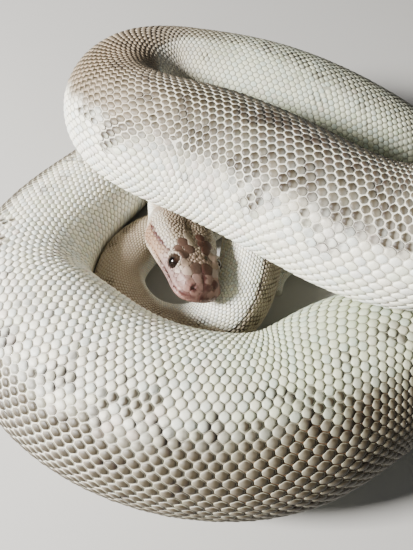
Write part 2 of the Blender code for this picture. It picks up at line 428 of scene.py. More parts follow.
# behind the snout, then half width, height above and depth below the mouth, mm
HEAD_FORM = (
    (0.5, 4.8, 2.6, 1.6), (1.8, 7.8, 4.4, 2.6), (4.5, 9.9, 6.2, 3.8),
    (9.0, 11.0, 7.8, 4.8), (14.0, 11.5, 9.2, 5.4), (19.0, 12.6, 10.2, 6.0),
    (25.0, 14.2, 10.8, 6.8), (31.0, 15.6, 11.0, 7.6), (37.0, 16.0, 10.9, 8.2),
    (43.0, 14.0, 10.3, 8.0), (HEAD_LENGTH, 11.0, 9.7, 7.6),
)

aim = Vector(HEAD_AIM).normalized()
level_crown = (Vector((0, 0, 1)) - aim * aim.z).normalized()
level_right = aim.cross(level_crown)
head_lean = math.radians(HEAD_ROLL)
crown = level_crown * math.cos(head_lean) - level_right * math.sin(head_lean)
right = aim.cross(crown)
HEAD_AXES = np.array([-aim, -right, crown])   # behind the snout, left, above


def head_point(behind, aside, above):
    """A place given behind the snout, to the head's left and above the mouth."""
    place = np.stack(np.broadcast_arrays(behind, aside, above), -1) @ HEAD_AXES
    place = place + np.array(SNOUT)
    place[..., :2] -= CENTRE
    return place


def head_place(points):
    """The reverse of `head_point`, for points in metres."""
    flat = points / MM
    flat = np.concatenate([flat[..., :2] + np.array(CENTRE), flat[..., 2:]], -1)
    local = (flat - np.array(SNOUT)) @ HEAD_AXES.T
    return local[..., 0], local[..., 1], local[..., 2]


def head_rows(behinds):
    """Rows of the head: half width, crown and chin between the named stops."""
    root_stops = np.sqrt([0.0] + [form[0] for form in HEAD_FORM]) * 10
    sizes = np.vstack([[0, 0, 0], np.array(HEAD_FORM)[:, 1:]])
    root_line, root_at = spline([(root, 0, 0, *size) for root, size in zip(root_stops, sizes)])
    forms = np.array([root_at(min(math.sqrt(behind) * 10, root_line[-1]))[3:]
                      for behind in behinds])
    sine, cosine = np.sin(ROUND), np.cos(ROUND)
    aside = forms[:, :1] * np.sign(sine) * np.abs(sine) ** SQUARENESS
    rise = np.where(cosine >= 0, forms[:, 1:2], forms[:, 2:3])
    above = rise * np.sign(cosine) * np.abs(cosine) ** SQUARENESS
    return np.broadcast_to(behinds[:, None], aside.shape), aside, above


print("head: %.0f mm long, %.0f mm across" % (HEAD_LENGTH, 2 * max(f[1] for f in HEAD_FORM)))


# %% [markdown]
# The head's ovals alone would give a bullet. Its own forms are pushed into the
# grid: a closed mouth line with full lips, brow ridges, the ridge that runs from
# each eye to the nostril, the jaw muscles behind the eyes, a shallow valley
# between them, nostrils, and a seat for each eye. Each form is a soft bump with
# its middle, its width and its height in millimetres.

# %% The head's forms
EYE_AT = (16.4, 9.0, 5.2)
EYE_RADIUS = 3.3
EYE_OUT = np.array([-0.20, 0.92, 0.26])
EYE_OUT = EYE_OUT / np.linalg.norm(EYE_OUT)
NOSTRIL_AT = (2.9, 4.6, 4.4)
MOUTH_END = 33.0
BROW_RIDGE, EYE_SEAT, NOSTRIL_DEPTH = 1.35, 2.4, 0.9
MOUTH_CREASE, LIP_SWELL, JAW_SWELL = 0.75, 0.30, 0.7


def bump(distance, width):
    """1 at the middle, falling smoothly to 0 by about twice the width."""
    return np.exp(-(np.asarray(distance) / width) ** 2)


def distance_to(spot, behind, spread, above):
    """How far points of the head lie from a place."""
    return np.sqrt((behind - spot[0]) ** 2 + (spread - spot[1]) ** 2 + (above - spot[2]) ** 2)


def shape_head(behind, aside, above):
    """Push the head's own forms into its plain ovals."""
    spread = np.abs(aside)
    reach = np.hypot(aside, above) + 1e-6
    mouth = 1 - smooth(MOUTH_END - 4, MOUTH_END, behind)
    push = -MOUTH_CREASE * mouth * bump(above + 0.2, 0.36)
    push += LIP_SWELL * mouth * (bump(above - 1.6, 1.0) + 0.8 * bump(above + 1.9, 1.0))
    from_eye = np.stack([behind - EYE_AT[0], spread - EYE_AT[1], above - EYE_AT[2]], -1)
    outward = from_eye @ EYE_OUT
    off_axis = np.sqrt(np.maximum(np.sum(from_eye ** 2, -1) - outward ** 2, 0.0))
    over_eye = smooth(-1.0, 1.5, from_eye[..., 2])
    push += BROW_RIDGE * bump(off_axis - 3.3, 1.2) * over_eye * smooth(-3.5, -0.5, outward)
    push += 0.25 * bump(off_axis - 3.4, 0.7) * (1 - over_eye) * smooth(-1.0, 1.0, outward)
    push -= EYE_SEAT * (1 - smooth(2.25, 2.8, off_axis)) * smooth(-0.2, 1.0, outward)
    ridge = window(behind, 3.0, 6.0, 11.0, 14.0)
    push += 0.45 * ridge * bump(spread - 7.0, 1.5) * smooth(3.5, 6.0, above)
    push -= 0.55 * ridge * bump(above - 4.0, 1.5) * smooth(7.5, 9.0, spread)
    muscle = bump(behind - 32.0, 8.0) * bump(spread - 9.5, 4.0) * smooth(1.0, 5.0, above)
    valley = bump(behind - 31.0, 9.0) * bump(spread, 2.2) * smooth(4.0, 8.0, above)
    push += JAW_SWELL * (muscle - valley)
    push -= 0.25 * bump(behind - 6.5, 2.2) * bump(spread, 0.9) * smooth(2.0, 4.0, above)
    hole = distance_to(NOSTRIL_AT, behind, spread, above)
    push += 0.30 * bump(hole - 1.1, 0.5) - NOSTRIL_DEPTH * (1 - smooth(0.25, 0.75, hole))
    scale = 1 + push / reach
    return behind, spread * scale * np.sign(aside), above * scale


print("eye at", EYE_AT, "nostril at", NOSTRIL_AT)


# %% [markdown]
# Head and body are joined into one grid. The rows near the neck are averaged with
# their neighbours a dozen times, which melts the joint away. The normals come from
# the grid's own slopes, and `on_surface` answers the question that every scale
# asks: where is the surface at this length and this angle, and which way is out?

# %% The surface as a grid
ROW_STEP = 1.2              # along the body, mm
HEAD_ROWS = 130
JOINT_REACH = 7.0           # how far each side of the neck is melted, mm
JOINT_PASSES = 12


def build_grid():
    """Rows of points from the snout to the tail tip, and each row's length from the neck."""
    behinds = np.linspace(0.0, math.sqrt(HEAD_LENGTH - 1.0), HEAD_ROWS) ** 2
    lengths = np.arange(1.0, TRUNK - 0.4, ROW_STEP)
    head = head_point(*shape_head(*head_rows(behinds)))
    rows = np.concatenate([head, body_rows(lengths)])
    place = np.concatenate([behinds - HEAD_LENGTH, lengths])
    joint = np.abs(place) < JOINT_REACH
    for _ in range(JOINT_PASSES):
        melted = (rows[:-2] + 2 * rows[1:-1] + rows[2:]) / 4
        rows[1:-1][joint[1:-1]] = melted[joint[1:-1]]
    return rows * MM, place


grid, row_place = build_grid()
along_grid = np.gradient(grid, axis=0)
round_grid = (np.roll(grid, -1, 1) - np.roll(grid, 1, 1)) / 2
normal_grid = np.cross(round_grid, along_grid)
normal_grid /= np.linalg.norm(normal_grid, axis=2, keepdims=True) + 1e-12
print("grid:", grid.shape, "from", row_place[0], "to", round(row_place[-1], 1))


def on_surface(place, angle):
    """Points and outward normals at a length from the neck and an angle round the body."""
    row = np.interp(place, row_place, np.arange(len(row_place)))
    low = np.clip(row.astype(int), 0, len(row_place) - 2)
    part = (row - low)[..., None]
    column = (angle + math.pi) / (2 * math.pi) * COLUMNS
    left = np.floor(column).astype(int)
    share = (column - left)[..., None]
    left, next_left = left % COLUMNS, (left + 1) % COLUMNS

    def mixed(table):
        near = table[low, left] * (1 - share) + table[low, next_left] * share
        far = table[low + 1, left] * (1 - share) + table[low + 1, next_left] * share
        return near * (1 - part) + far * part

    normal = mixed(normal_grid)
    normal /= np.linalg.norm(normal, axis=-1, keepdims=True) + 1e-12
    return mixed(grid), normal


# %% [markdown]
# The markings are worked out, not painted. Two kinds of noise feed them. The first
# gives every small cell of space one fixed random number, and the second blends
# such numbers softly. Both depend on the place alone, so the skin and the scales
# on it always agree.

# %% Noise
def lattice_noise(cells, seed):
    """A fixed random number from 0 to 1 for each whole-number cell."""
    mixed = (cells[..., 0] * 374761393 + cells[..., 1] * 668265263
             + cells[..., 2] * 2147483647 + seed * 974634777) & 0xFFFFFFFF
    mixed = ((mixed ^ (mixed >> 13)) * 1274126177) & 0xFFFFFFFF
    return ((mixed ^ (mixed >> 16)) & 0xFFFF) / 65535.0


def cloud_at(points, size, seed):
    """Soft noise from 0 to 1 at points in metres; `size` is its grain in mm."""
    scaled = points / (size * MM)
    base = np.floor(scaled).astype(np.int64)
    part = scaled - base
    part = part * part * (3 - 2 * part)
    total = np.zeros(points.shape[:-1])
    for corner in range(8):
        step = np.array([corner & 1, corner >> 1 & 1, corner >> 2 & 1])
        weight = np.prod(np.where(step, part, 1 - part), axis=-1)
        total += weight * lattice_noise(base + step, seed)
    return total


# grain in mm and seed of each soft noise, and the cell and seed of the hard one
PATCHES, FINE, CLUMPS, BLOTS, DOTS = (11.0, 3), (4.5, 5), (10.0, 11), (7.0, 23), (3.2, 29)
LONE_CELL, LONE_SEED = 2.6, 17
print("soft noise round the neck: %.2f" % cloud_at(grid[HEAD_ROWS], *PATCHES).mean())


# %% [markdown]
# A pale ball python keeps its pattern on the back: a band that is tan on the neck
# and grey on the trunk, with clusters of dark-edged scales along its edges and one
# thin dark line on the fore coil. The flanks and the belly are ivory. The tables
# give these by stretch, in millimetres along the body and degrees from the back.

# %% Tables of the body's markings
# length from the neck, the band's full half width and where it ends, degrees
BAND = ((-60.0, 62.0, 86.0), (0.0, 62.0, 84.0), (FORE, 84.0, 104.0),
        (FORE_RIGHT - 12, 92.0, 118.0), (FORE_RIGHT + 6, 37.0, 44.0),
        (FORE_RIGHT + 32, 52.0, 58.0), (INNER + 40, 50.0, 62.0), (GREAT, 30.0, 60.0),
        (GREAT + 95, 19.0, 43.0), (GREAT + 150, 26.0, 54.0), (RIGHT_FOLD, 30.0, 58.0),
        (CROSSING, 30.0, 58.0), (LEFT_FOLD + 20, 40.0, 66.0), (BACK + 20, 34.0, 60.0),
        (VENT, 34.0, 62.0), (TRUNK, 44.0, 76.0))
# clusters of dark-edged scales: mm past the stretch's start, angle, half length, half width
CLUSTERS = {
    "great_coil": ((100, -48, 5, 10), (125, -51, 6, 9), (156, -45, 7, 5), (163, -39, 4, 8),
                   (174, -49, 3, 13), (203, -45, 3, 12), (213, -32, 6, 6)),
    "crossing": ((135, -65, 2.5, 16), (74, -66, 2.5, 13), (82, -46, 8, 7), (66, -41, 6, 8),
                 (48, -47, 8, 9), (31, -55, 7, 11), (104, -38, 7, 6)),
    "back_length": ((50, 50, 3, 6), (72, 57, 3, 5)),
}
# how brown the scales of a stretch's clusters are
CLUSTER_BROWN = {"great_coil": 0.45, "crossing": 1.1, "back_length": 0.45}
# the dark line of the fore coil: length from the neck, angle
STRIPE = ((FORE_RIGHT + 6, 38.0), (FORE_RIGHT + 14, 45.0),
          (FORE_RIGHT + 23, 50.0), (FORE_RIGHT + 34, 55.0))
print("clusters:", {stretch: len(group) for stretch, group in CLUSTERS.items()})


# %% [markdown]
# The snout is pink and carries brown blotches. Thin dark lines run between the
# lips, down the middle of the snout and from each eye to the neck. The cheeks
# behind the eyes are peach and the lips a dusty lilac. Distances along the head
# place all of them, with a soft edge to each.

# %% The head's markings
# brown blotches of the snout: behind, aside, above, radius (mm), depth of tone
SNOUT_MARKS = ((2.9, -4.6, 4.4, 2.1, 1.15), (2.9, 1.9, 4.9, 1.9, 1.05),
               (5.0, 5.3, 5.1, 2.0, 1.15), (2.0, -1.6, 4.3, 1.0, 0.7),
               (6.6, 0.4, 6.9, 1.4, 1.1), (4.6, -6.0, 3.4, 1.1, 0.6),
               (10.2, 0.3, 8.2, 1.3, 0.9))
DARKEST = 1.7               # the most that a line or a blotch adds


def eye_line(behind):
    """Height of the dark line that runs back from the eye."""
    return 6.3 - 0.09 * (behind - 20.5)


def head_lines(behind, aside, above):
    """Thin dark lines: between the lips, down the snout and behind each eye."""
    spread = np.abs(aside)
    broken = smooth(0.05, 0.4, 0.5 + 0.5 * np.sin(behind * 1.9 + aside))
    lip_line = 1.6 * (1 - smooth(3.0, 9.0, behind)) - 0.2
    lips = bump(above - lip_line, 0.7) * broken * (1 - smooth(18.0, 24.0, behind))
    middle = 1.56 * bump(aside - 0.2, 0.55) * window(behind, 0.8, 1.8, 9.5, 10.5)
    middle = middle * smooth(2.0, 3.5, above)
    blotches = 0.0 * behind
    for *spot, size, depth in SNOUT_MARKS:
        away = distance_to(spot, behind, aside, above)
        blotches = np.maximum(blotches, depth * (1 - smooth(0.7 * size, size, away)))
    uneven = 0.5 + 0.5 * np.sin(behind * 2.6 + 1.7 * aside) * np.sin(aside * 2.1 - above)
    blotches = 1.5 * blotches * (0.45 + 0.55 * uneven)
    behind_eye = 1.3 * bump(above - eye_line(behind), 0.75)
    behind_eye = behind_eye * window(behind, 19.6, 21.0, 36.0, 42.0) * smooth(9.0, 10.5, spread)
    canthus = 0.9 * bump(above - (5.4 + 0.10 * (11.6 - behind)), 0.35)
    canthus = canthus * window(behind, 5.5, 7.0, 12.0, 13.5) * smooth(4.5, 6.0, spread)
    lines = np.maximum(np.maximum(1.4 * lips, np.maximum(middle, blotches)), behind_eye)
    return np.clip(np.maximum(lines, canthus), 0, DARKEST)


def head_blush(behind, aside, above):
    """Pink, peach and lilac shares of the head."""
    spread = np.abs(aside)
    pink = 0.45 * (1 - smooth(14.0, 24.0, behind)) + 0.55 * (1 - smooth(4.0, 13.0, behind))
    peach = window(behind, 17.0, 24.0, 38.0, 46.0) * smooth(9.5, 11.5, spread)
    peach = peach * smooth(-3.5, -1.0, above) * (1 - smooth(0.0, 0.6, above - eye_line(behind)))
    lilac = window(behind, 4.0, 7.0, 18.0, 25.0) * smooth(6.5, 9.0, spread)
    return pink, peach, lilac * (1 - smooth(3.6, 5.6, above))


def head_marks(behind, aside, above):
    """Tan, grey, brown and dark shares of the head, without its plates' own tones."""
    spread = np.abs(aside)
    on_top = smooth(2.0, 5.0, above)
    nape = smooth(22.0, 29.0, behind) * (1 - smooth(8.0, 12.0, spread)) * on_top
    brow = window(behind, 9.0, 13.0, 26.0, 30.0) * (1 - smooth(7.5, 9.5, spread)) * on_top
    nostril_rim = bump(distance_to(NOSTRIL_AT, behind, spread, above) - 1.2, 1.0)
    brown = 0.2 * nostril_rim + 0.16 * nape + 0.10 * brow
    return np.maximum(nape, brow), 0.0 * nape, brown, 0.0 * nape


print("snout blotches:", len(SNOUT_MARKS))


# %% [markdown]
# On the body the tones are laid over each other. First comes the band: tan on the
# neck and fore coil, grey on the trunk, with its edge made ragged by noise. Then
# come the brown of the great coil, the warm brown top of the left fold, the brown
# fringe on both sides of the crossing's band, and painted shade in brown along the
# middle of the crossing's band where it meets the left fold. All edges are soft, as
# they are on a real snake's skin.

# %% Brown and grey of the body
PATCH_WANDER, FINE_WANDER = 16.0, 9.0   # how far noise moves the band's edge, degrees


def brown_and_grey(place, turned, points, patch, fine):
    """Tan, grey and brown of the back, the folds and the crossing, and painted shade in brown on
    the crossing's ridge.
    """
    aside = np.abs(turned)
    lengths, full, fade = zip(*BAND)
    ragged = aside + PATCH_WANDER * (patch - 0.5) + FINE_WANDER * (fine - 0.5)
    band = 1 - smooth(np.interp(place, lengths, full), np.interp(place, lengths, fade), ragged)
    neck_share = 1 - smooth(INNER + 10, GREAT, place)
    tan = band * neck_share
    grey = band * (1 - neck_share) * (0.75 + 0.25 * bump(aside, 20.0))
    # scattered brown: clusters along the band's edge, and single scales in it
    lone = lattice_noise(np.floor(points / (LONE_CELL * MM)).astype(np.int64), LONE_SEED)
    cluster = smooth(0.55, 0.70, cloud_at(points, *CLUMPS)) * smooth(0.2, 0.5, lone)
    brown = np.maximum(cluster * (0.25 + 0.75 * window(aside, 12.0, 30.0, 58.0, 76.0)),
                       0.8 * band * smooth(0.84, 0.90, lone))
    # the great coil is browner
    coiled = window(place, GREAT - 40, GREAT + 20, RIGHT_FOLD - 60, RIGHT_FOLD + 20)
    brown = np.maximum(brown, coiled * band * (0.8 + 0.5 * fine))
    tan = np.maximum(tan, 0.18 * coiled * (1 - smooth(56.0, 92.0, ragged)))
    # the left fold is warm brown on top, and its inner crease is plain
    folded = bump(place - LEFT_FOLD - 24.0, 38.0) * band
    tan = np.maximum(tan, 1.15 * folded)
    brown = np.maximum(brown, 1.2 * folded * (0.6 + 0.8 * patch))
    creased = bump(place - LEFT_FOLD - 55.0, 26.0) * smooth(40.0, 62.0, turned)
    tan = np.maximum(tan, 0.6 * creased)
    brown = brown * (1 - creased)
    grey = grey * (1 - creased) * (1 - 0.5 * smooth(BACK - 20, BACK + 30, place))
    # the crossing has a brown fringe beside its band, and painted shade in brown along the top of
    # its ridge near the fold
    fringe = window(place, CROSSING - 5, CROSSING + 25, LEFT_FOLD - 12, LEFT_FOLD + 10)
    fringe = fringe * window(ragged, 30.0, 44.0, 50.0, 76.0)
    brown = np.maximum(brown, fringe * (0.12 + 1.15 * fine) * (
        0.55 + 0.45 * smooth(0.25, 0.45, lone)))
    tan = np.maximum(tan, 0.45 * fringe * patch)
    # painted shade: the top of the crossing's ridge near the fold is darkened with brown
    ridge = bump(place - CROSSING - 112.0, 42.0) * bump(turned - 4.0, 24.0)
    brown = np.maximum(brown, 1.2 * ridge)
    brown = brown * (1 - neck_share) * (1 - smooth(80.0, 95.0, aside)) * (
        1 - 0.7 * smooth(LEFT_FOLD + 30, BACK, place))
    return tan, grey, brown


print("brown and grey of", len(BAND), "stops")


# %% [markdown]
# Dark marks sit in clusters beside the band, as specks, and as one thin line along
# the fore coil. `markings` gathers everything about a point of the body in four
# shares, and `add_numbers` keeps them on a mesh as an attribute, where a material
# can read them. An attribute needs no map, and stays true on a curved surface.

# %% Dark marks, and keeping the numbers
STRIPE_HALF, STRIPE_DEPTH = 1.8, 2.6    # degrees, and how dark
STRIPE_WANDER = 4.0                     # degrees
SPECK_DEPTH, CLUSTER_DEPTH = 1.3, 1.35


def markings(place, angle, points):
    """Tan, grey, brown and dark shares at each point."""
    turned = np.degrees(angle)
    aside = np.abs(turned)
    patch = cloud_at(points, *PATCHES)
    fine = cloud_at(points, *FINE)
    tan, grey, brown = brown_and_grey(place, turned, points, patch, fine)
    dark = smooth(0.68, 0.73, cloud_at(points, *BLOTS)) * smooth(0.42, 0.52, fine)
    dark = SPECK_DEPTH * dark * (1 - smooth(70.0, 92.0, aside))
    speck = smooth(0.30, 0.46, cloud_at(points, *DOTS))
    for stretch, group in CLUSTERS.items():
        for past, centre, half_length, half_width in group:
            away = np.hypot((place - starts[stretch] - past) / half_length,
                            (turned - centre) / half_width)
            inside = 1 - smooth(0.7, 1.1, away + 0.5 * (fine - 0.5))
            dark = np.maximum(dark, CLUSTER_DEPTH * inside * speck)
            brown = np.maximum(brown, CLUSTER_BROWN[stretch] * inside)
    line = np.interp(place, *zip(*STRIPE))
    off_line = aside - line + STRIPE_WANDER * (patch - 0.5)
    stripe = bump(off_line, STRIPE_HALF) * smooth(0.12, 0.24, fine)
    on_fore = window(place, FORE_RIGHT - 6, FORE_RIGHT + 2, INNER + 20, INNER + 40)
    dark = np.maximum(dark, STRIPE_DEPTH * stripe * on_fore)
    bare = 1 - smooth(TRUNK - 34, TRUNK - 18, place)    # the tail's tip has no marks
    return tan * bare, grey * bare, brown * bare, dark * bare


def painted_shade(place):
    """How strongly painted shade darkens the ivory to a cool green grey: 1 on the back, 1.3 on the
    great coil.
    """
    coiled = window(place, GREAT + 120, GREAT + 220, RIGHT_FOLD - 10, RIGHT_FOLD + 30)
    back = window(place, LEFT_FOLD + 50, BACK + 10, VENT, TAIL)
    return np.maximum(1.3 * coiled, back)


def add_numbers(mesh, name, first, second, third, fourth):
    """Four numbers for each vertex, kept as one colour attribute."""
    packed = np.stack([np.asarray(v, float) for v in
                       np.broadcast_arrays(first, second, third, fourth)], -1)
    layer = mesh.attributes.new(name, "FLOAT_COLOR", "POINT")
    layer.data.foreach_set("color", packed.astype(np.float32).ravel())


middle_row = grid[len(grid) // 2]
print("most grey half way: %.2f" % markings(row_place[len(grid) // 2], ROUND, middle_row)[1].max())


# %% [markdown]
# A snake's scales stand in rows that run along the body. Each row is set half a
# scale ahead of its neighbour, so that they lock together like tiles. A row has
# the same number of scales on either side of a bend, so the scales are short
# inside it and long outside. Where the body thins, a pair of rows shrinks away.
# These tables give each row its angle and its width at every millimetre.

# %% The rows of scales
SCUTE_HALF = 24.0           # half the belly plates' width, degrees round the body
ROWS_FULL = 29              # scale rows on each side of the line of the back
RISE = 0.18                 # a scale's height as a share of its length
ROW_FADE = 9.0              # a missing row shrinks away over this length, mm
FLANK_GROWTH = 0.22         # how much wider the lowest rows are
NEVER = 9999                # a missing pair that doesn't come back before the tail's tip
# from where to where a pair of rows is missing on each side, and its first row
ROW_GAPS = ((-99, LEFT_FOLD - 30, 8), (GREAT + 250, CROSSING + 60, 20),
            (RIGHT_FOLD + 20, LEFT_FOLD - 10, 14), (BACK + 50, NEVER, 11), (BACK + 90, NEVER, 24),
            (VENT + 5, NEVER, 17), (VENT + 25, NEVER, 5), (VENT + 45, NEVER, 22),
            (TAIL - 4, NEVER, 8), (TAIL + 12, NEVER, 26), (TAIL + 24, NEVER, 13),
            (TAIL + 34, NEVER, 3), (TAIL + 42, NEVER, 19))
# a scale's length as a share of its row's width, by the length from the neck
RATIO = ((0.0, 1.42), (GREAT, 1.36), (GREAT + 60, 1.26), (RIGHT_FOLD - 40, 1.26),
         (CROSSING, 1.27), (LEFT_FOLD, 1.27), (BACK, 1.36), (TRUNK, 1.42))

samples = np.arange(0.0, TRUNK + 1.0, 1.0)
girth = np.array([math.pi * sum(line_at(p)[3:]) / 2 for p in np.minimum(samples, TRUNK)])
weights = np.ones((ROWS_FULL + 1, len(samples)))
weights += FLANK_GROWTH * smooth(0.72, 1.0, np.arange(ROWS_FULL + 1) / ROWS_FULL)[:, None]
for end, again, row in ROW_GAPS:
    weights[row:row + 2] *= 1 - window(samples, end, end + ROW_FADE, again, again + ROW_FADE)
weights[0] *= 0.5           # the row on the back itself is shared by both sides
scaled_part = math.radians(180 - SCUTE_HALF)
reached = np.cumsum(weights, axis=0)
row_angle = (reached - weights / 2) / reached[-1] * scaled_part
row_angle[0] = 0.0
row_width = weights / reached[-1] * scaled_part
row_width[0] *= 2
row_size = girth * (180 - SCUTE_HALF) / 180 / (2 * reached[-1])
scale_length = row_size * np.interp(samples, *zip(*RATIO))
scale_count = np.concatenate([[0], np.cumsum(2 / (scale_length[1:] + scale_length[:-1]))])
print("scale length %.2f to %.2f mm, %d steps from neck to tail"
      % (scale_length.min(), scale_length.max(), scale_count[-1]))


# %% [markdown]
# One skin covers the whole animal. It starts as a flat grid with one column more
# than the body has, is wrapped round the rows, and its two long edges are merged
# along the belly, where they meet. It lies inside the solids by the height of the
# scales, so that the scales' tops come to the body's true outline.

# %% The skin
HEAD_COAT = 0.30            # depth of the skin under the head's outline, mm
MERGE = 0.000002            # vertices nearer than this become one, m
HEAD_FADE = (-6.0, 2.0)     # where the head's colours give way to the body's, mm
SKIN_SPECKS = 0.25          # how much of the dark specks the bare skin shows


def coat_depth(place):
    """How far the skin lies under the outline, in metres."""
    body = RISE * np.interp(place, samples, scale_length)
    share = smooth(-12.0, 4.0, place)
    return (HEAD_COAT * (1 - share) + body * share) * MM


def skin_rows():
    """The skin's rows of points and their lengths; the first column comes twice."""
    head_count = int(np.sum(row_place < 0))
    chosen = np.concatenate([np.arange(head_count), np.arange(head_count, len(row_place), 2)])
    place = row_place[chosen]
    under = grid[chosen] - normal_grid[chosen] * coat_depth(place)[:, None, None]
    under[..., 2] = np.maximum(under[..., 2], 0.0)
    tip_row = np.broadcast_to(under[-1].mean(axis=0), (1, COLUMNS, 3))
    under = np.concatenate([under, tip_row])
    return np.concatenate([under, under[:, :1]], axis=1), np.append(place, place[-1] + 0.3)


def number_skin(mesh, under, place):
    """Keep the markings, the blush and the ivory's painted shade on the skin's vertices."""
    everywhere = np.broadcast_to(place[:, None], under.shape[:2])
    around = np.broadcast_to(np.append(ROUND, math.pi)[None, :], under.shape[:2])
    tan, grey, brown, dark = markings(everywhere, around, under)
    local = head_place(under)
    on_head = 1 - smooth(*HEAD_FADE, everywhere)
    marks = [body * (1 - on_head) + head * on_head for body, head in zip(
        (tan, grey, brown, SKIN_SPECKS * dark), head_marks(*local))]
    marks[3] = np.maximum(marks[3], head_lines(*local) * on_head)
    add_numbers(mesh, "marks", *[values.ravel() for values in marks])
    blush = [(values * on_head).ravel() for values in head_blush(*local)]
    add_numbers(mesh, "blush", *blush, 0.0)
    # the fourth number of form is the ivory's painted shade, and -1 on the head
    add_numbers(mesh, "form", 0.0, 0.5, 0.5, (painted_shade(everywhere) - on_head).ravel())


def close_and_smooth(merge=None):
    """Merge doubles if asked, turn the faces of the active piece outward, shade it smooth."""
    bpy.ops.object.mode_set(mode="EDIT")
    bpy.ops.mesh.select_all(action="SELECT")
    if merge:
        bpy.ops.mesh.remove_doubles(threshold=merge)
    bpy.ops.mesh.normals_make_consistent(inside=False)
    bpy.ops.object.mode_set(mode="OBJECT")
    bpy.ops.object.shade_smooth()


def build_skin():
    """Wrap a flat grid round the body and close it."""
    under, place = skin_rows()
    bpy.ops.object.select_all(action="DESELECT")
    bpy.ops.mesh.primitive_grid_add(x_subdivisions=COLUMNS, y_subdivisions=len(place) - 1,
                                    size=1.0, calc_uvs=True)
    skin = bpy.context.object
    skin.name = "skin"
    skin.data.uv_layers[0].name = "OFBake"
    skin.data.vertices.foreach_set("co", under.astype(np.float32).ravel())
    number_skin(skin.data, under, place)
    close_and_smooth(MERGE)
    print("skin:", len(skin.data.polygons), "faces")
    return skin


skin = build_skin()
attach(skin, "root")
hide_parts(*[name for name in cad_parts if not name.startswith("eye_")])


# %% [markdown]
# Every scale is the same small form: a rounded hexagon with a low dome on it. What
# repeats is made once and copied, so one helper lists the faces of a domed form,
# and another joins thousands of copies into one mesh, with their numbers for the
# colours, their map and their body.

# %% Joining copies into one piece
coats = [skin]


def domed_faces(corners, rings):
    """Corner numbers and sizes of the faces: walls between the rings, a cap and a base."""
    faces = []
    for ring in range(rings - 1):
        low = ring * corners
        faces += [(low + corner, low + (corner + 1) % corners,
                   low + corners + (corner + 1) % corners, low + corners + corner)
                  for corner in range(corners)]
    top = (rings - 1) * corners
    faces += [(top + corner, top + (corner + 1) % corners, top + corners)
              for corner in range(corners)]
    faces.append(tuple(reversed(range(corners))))
    return np.concatenate(faces), np.array([len(face) for face in faces])


def joined_piece(name, points, rings, marks, form, blush, spots):
    """One coat piece; `points` has a row for each copy, the rest a value for each vertex."""
    count, per = points.shape[:2]
    loops, sizes = domed_faces((per - 1) // rings, rings)
    all_loops = (loops[None, :] + (np.arange(count) * per)[:, None]).ravel()
    all_sizes = np.tile(sizes, count)
    first_loops = np.concatenate([[0], np.cumsum(all_sizes)[:-1]])
    mesh = bpy.data.meshes.new(name)
    mesh.vertices.add(count * per)
    mesh.vertices.foreach_set("co", points.astype(np.float32).ravel())
    mesh.loops.add(len(all_loops))
    mesh.loops.foreach_set("vertex_index", all_loops.astype(np.int32))
    mesh.polygons.add(len(all_sizes))
    mesh.polygons.foreach_set("loop_start", first_loops.astype(np.int32))
    mesh.update(calc_edges=True)
    mesh.polygons.foreach_set("use_smooth", np.ones(len(all_sizes), bool))
    for attribute, numbers in (("marks", marks), ("form", form), ("blush", blush)):
        add_numbers(mesh, attribute, *numbers)
    layer = mesh.uv_layers.new(name="OFBake")
    layer.data.foreach_set("uv", spots.reshape(-1, 2)[all_loops].astype(np.float32).ravel())
    mesh.validate()
    piece = bpy.data.objects.new(name, mesh)
    bpy.context.scene.collection.objects.link(piece)
    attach(piece, "root")
    coats.append(piece)
    print("%s: %d scales, %d triangles" % (name, count, int(np.sum(all_sizes - 2))))


print("a scale of 12 corners and 3 rings has", int(np.sum(domed_faces(12, 3)[1] - 2)), "triangles")


# %% [markdown]
# The template is drawn flat, one long and one wide: a quarter of the outline is
# mirrored twice, and each ring repeats it smaller and higher. The large scales in
# front have three rings of twelve corners. Others have fewer rings or corners,
# which keeps the whole coat within its number of triangles.

# %% Scale templates
SCALE_GAP = 0.965           # a scale's size as a share of its cell
HEXAGON = ((0.50, 0.17), (0.44, 0.31), (0.10, 0.64))
PLAIN_HEXAGON = ((0.50, 0.20), (0.15, 0.58))
FOOT = (SCALE_GAP, -0.10)   # the lowest ring stands just inside the skin


def scale_rings(quarter, *higher):
    """Rings of one scale: its full outline at each size, with each ring's height."""
    quarter = np.array(quarter)
    outline = np.concatenate([quarter, quarter[::-1] * (-1, 1), -quarter,
                              quarter[::-1] * (1, -1)])
    return [(outline * size, height) for size, height in (FOOT, *higher)]


BIG_RINGS = scale_rings(HEXAGON, (0.82, 0.50), (0.48, 0.88))
MIDDLE_RINGS = scale_rings(HEXAGON, (0.70, 0.66))
SMALL_RINGS = scale_rings(PLAIN_HEXAGON, (0.72, 0.66), (0.30, 0.95))
HIDDEN_RINGS = scale_rings(PLAIN_HEXAGON, (0.66, 0.74))
print("corners:", [len(rings[0][0]) for rings in (BIG_RINGS, MIDDLE_RINGS, SMALL_RINGS)])


# %% [markdown]
# Each scale is laid on the surface by its own length from the neck and its angle,
# so it bends with the body. No two real scales are alike: each gets a slightly
# different size, height and turn, and its tailward end stands a little higher, so
# that the light catches it. Inside the last fold the skin is stretched and the
# scales lie almost flat.

# %% Laying scales
TILT = 0.42                 # how much higher a scale's tailward end is
SIZE_SPREAD, TURN_SPREAD = 0.05, 0.06
LEAST_HEIGHT, HEIGHT_SPREAD = 0.88, 0.24
TOP_AFT = 0.06              # how far the top sits towards the tail
SLEEK_LOSS = 0.75           # how much height the sleek scales lose
SLEEK_SHINE = 0.4           # added to their height number, which the gloss reads
FLOOR_GAP = 0.00002         # m
PLACE_RANGE = (-45.0, TRUNK - 0.5)      # no corner lies beyond these, mm
MAP_MARGIN = 10             # mm left free at both ends of a piece's map
MAP_FILL, MAP_EDGE, MAP_COPY = 0.99, 0.005, 0.003


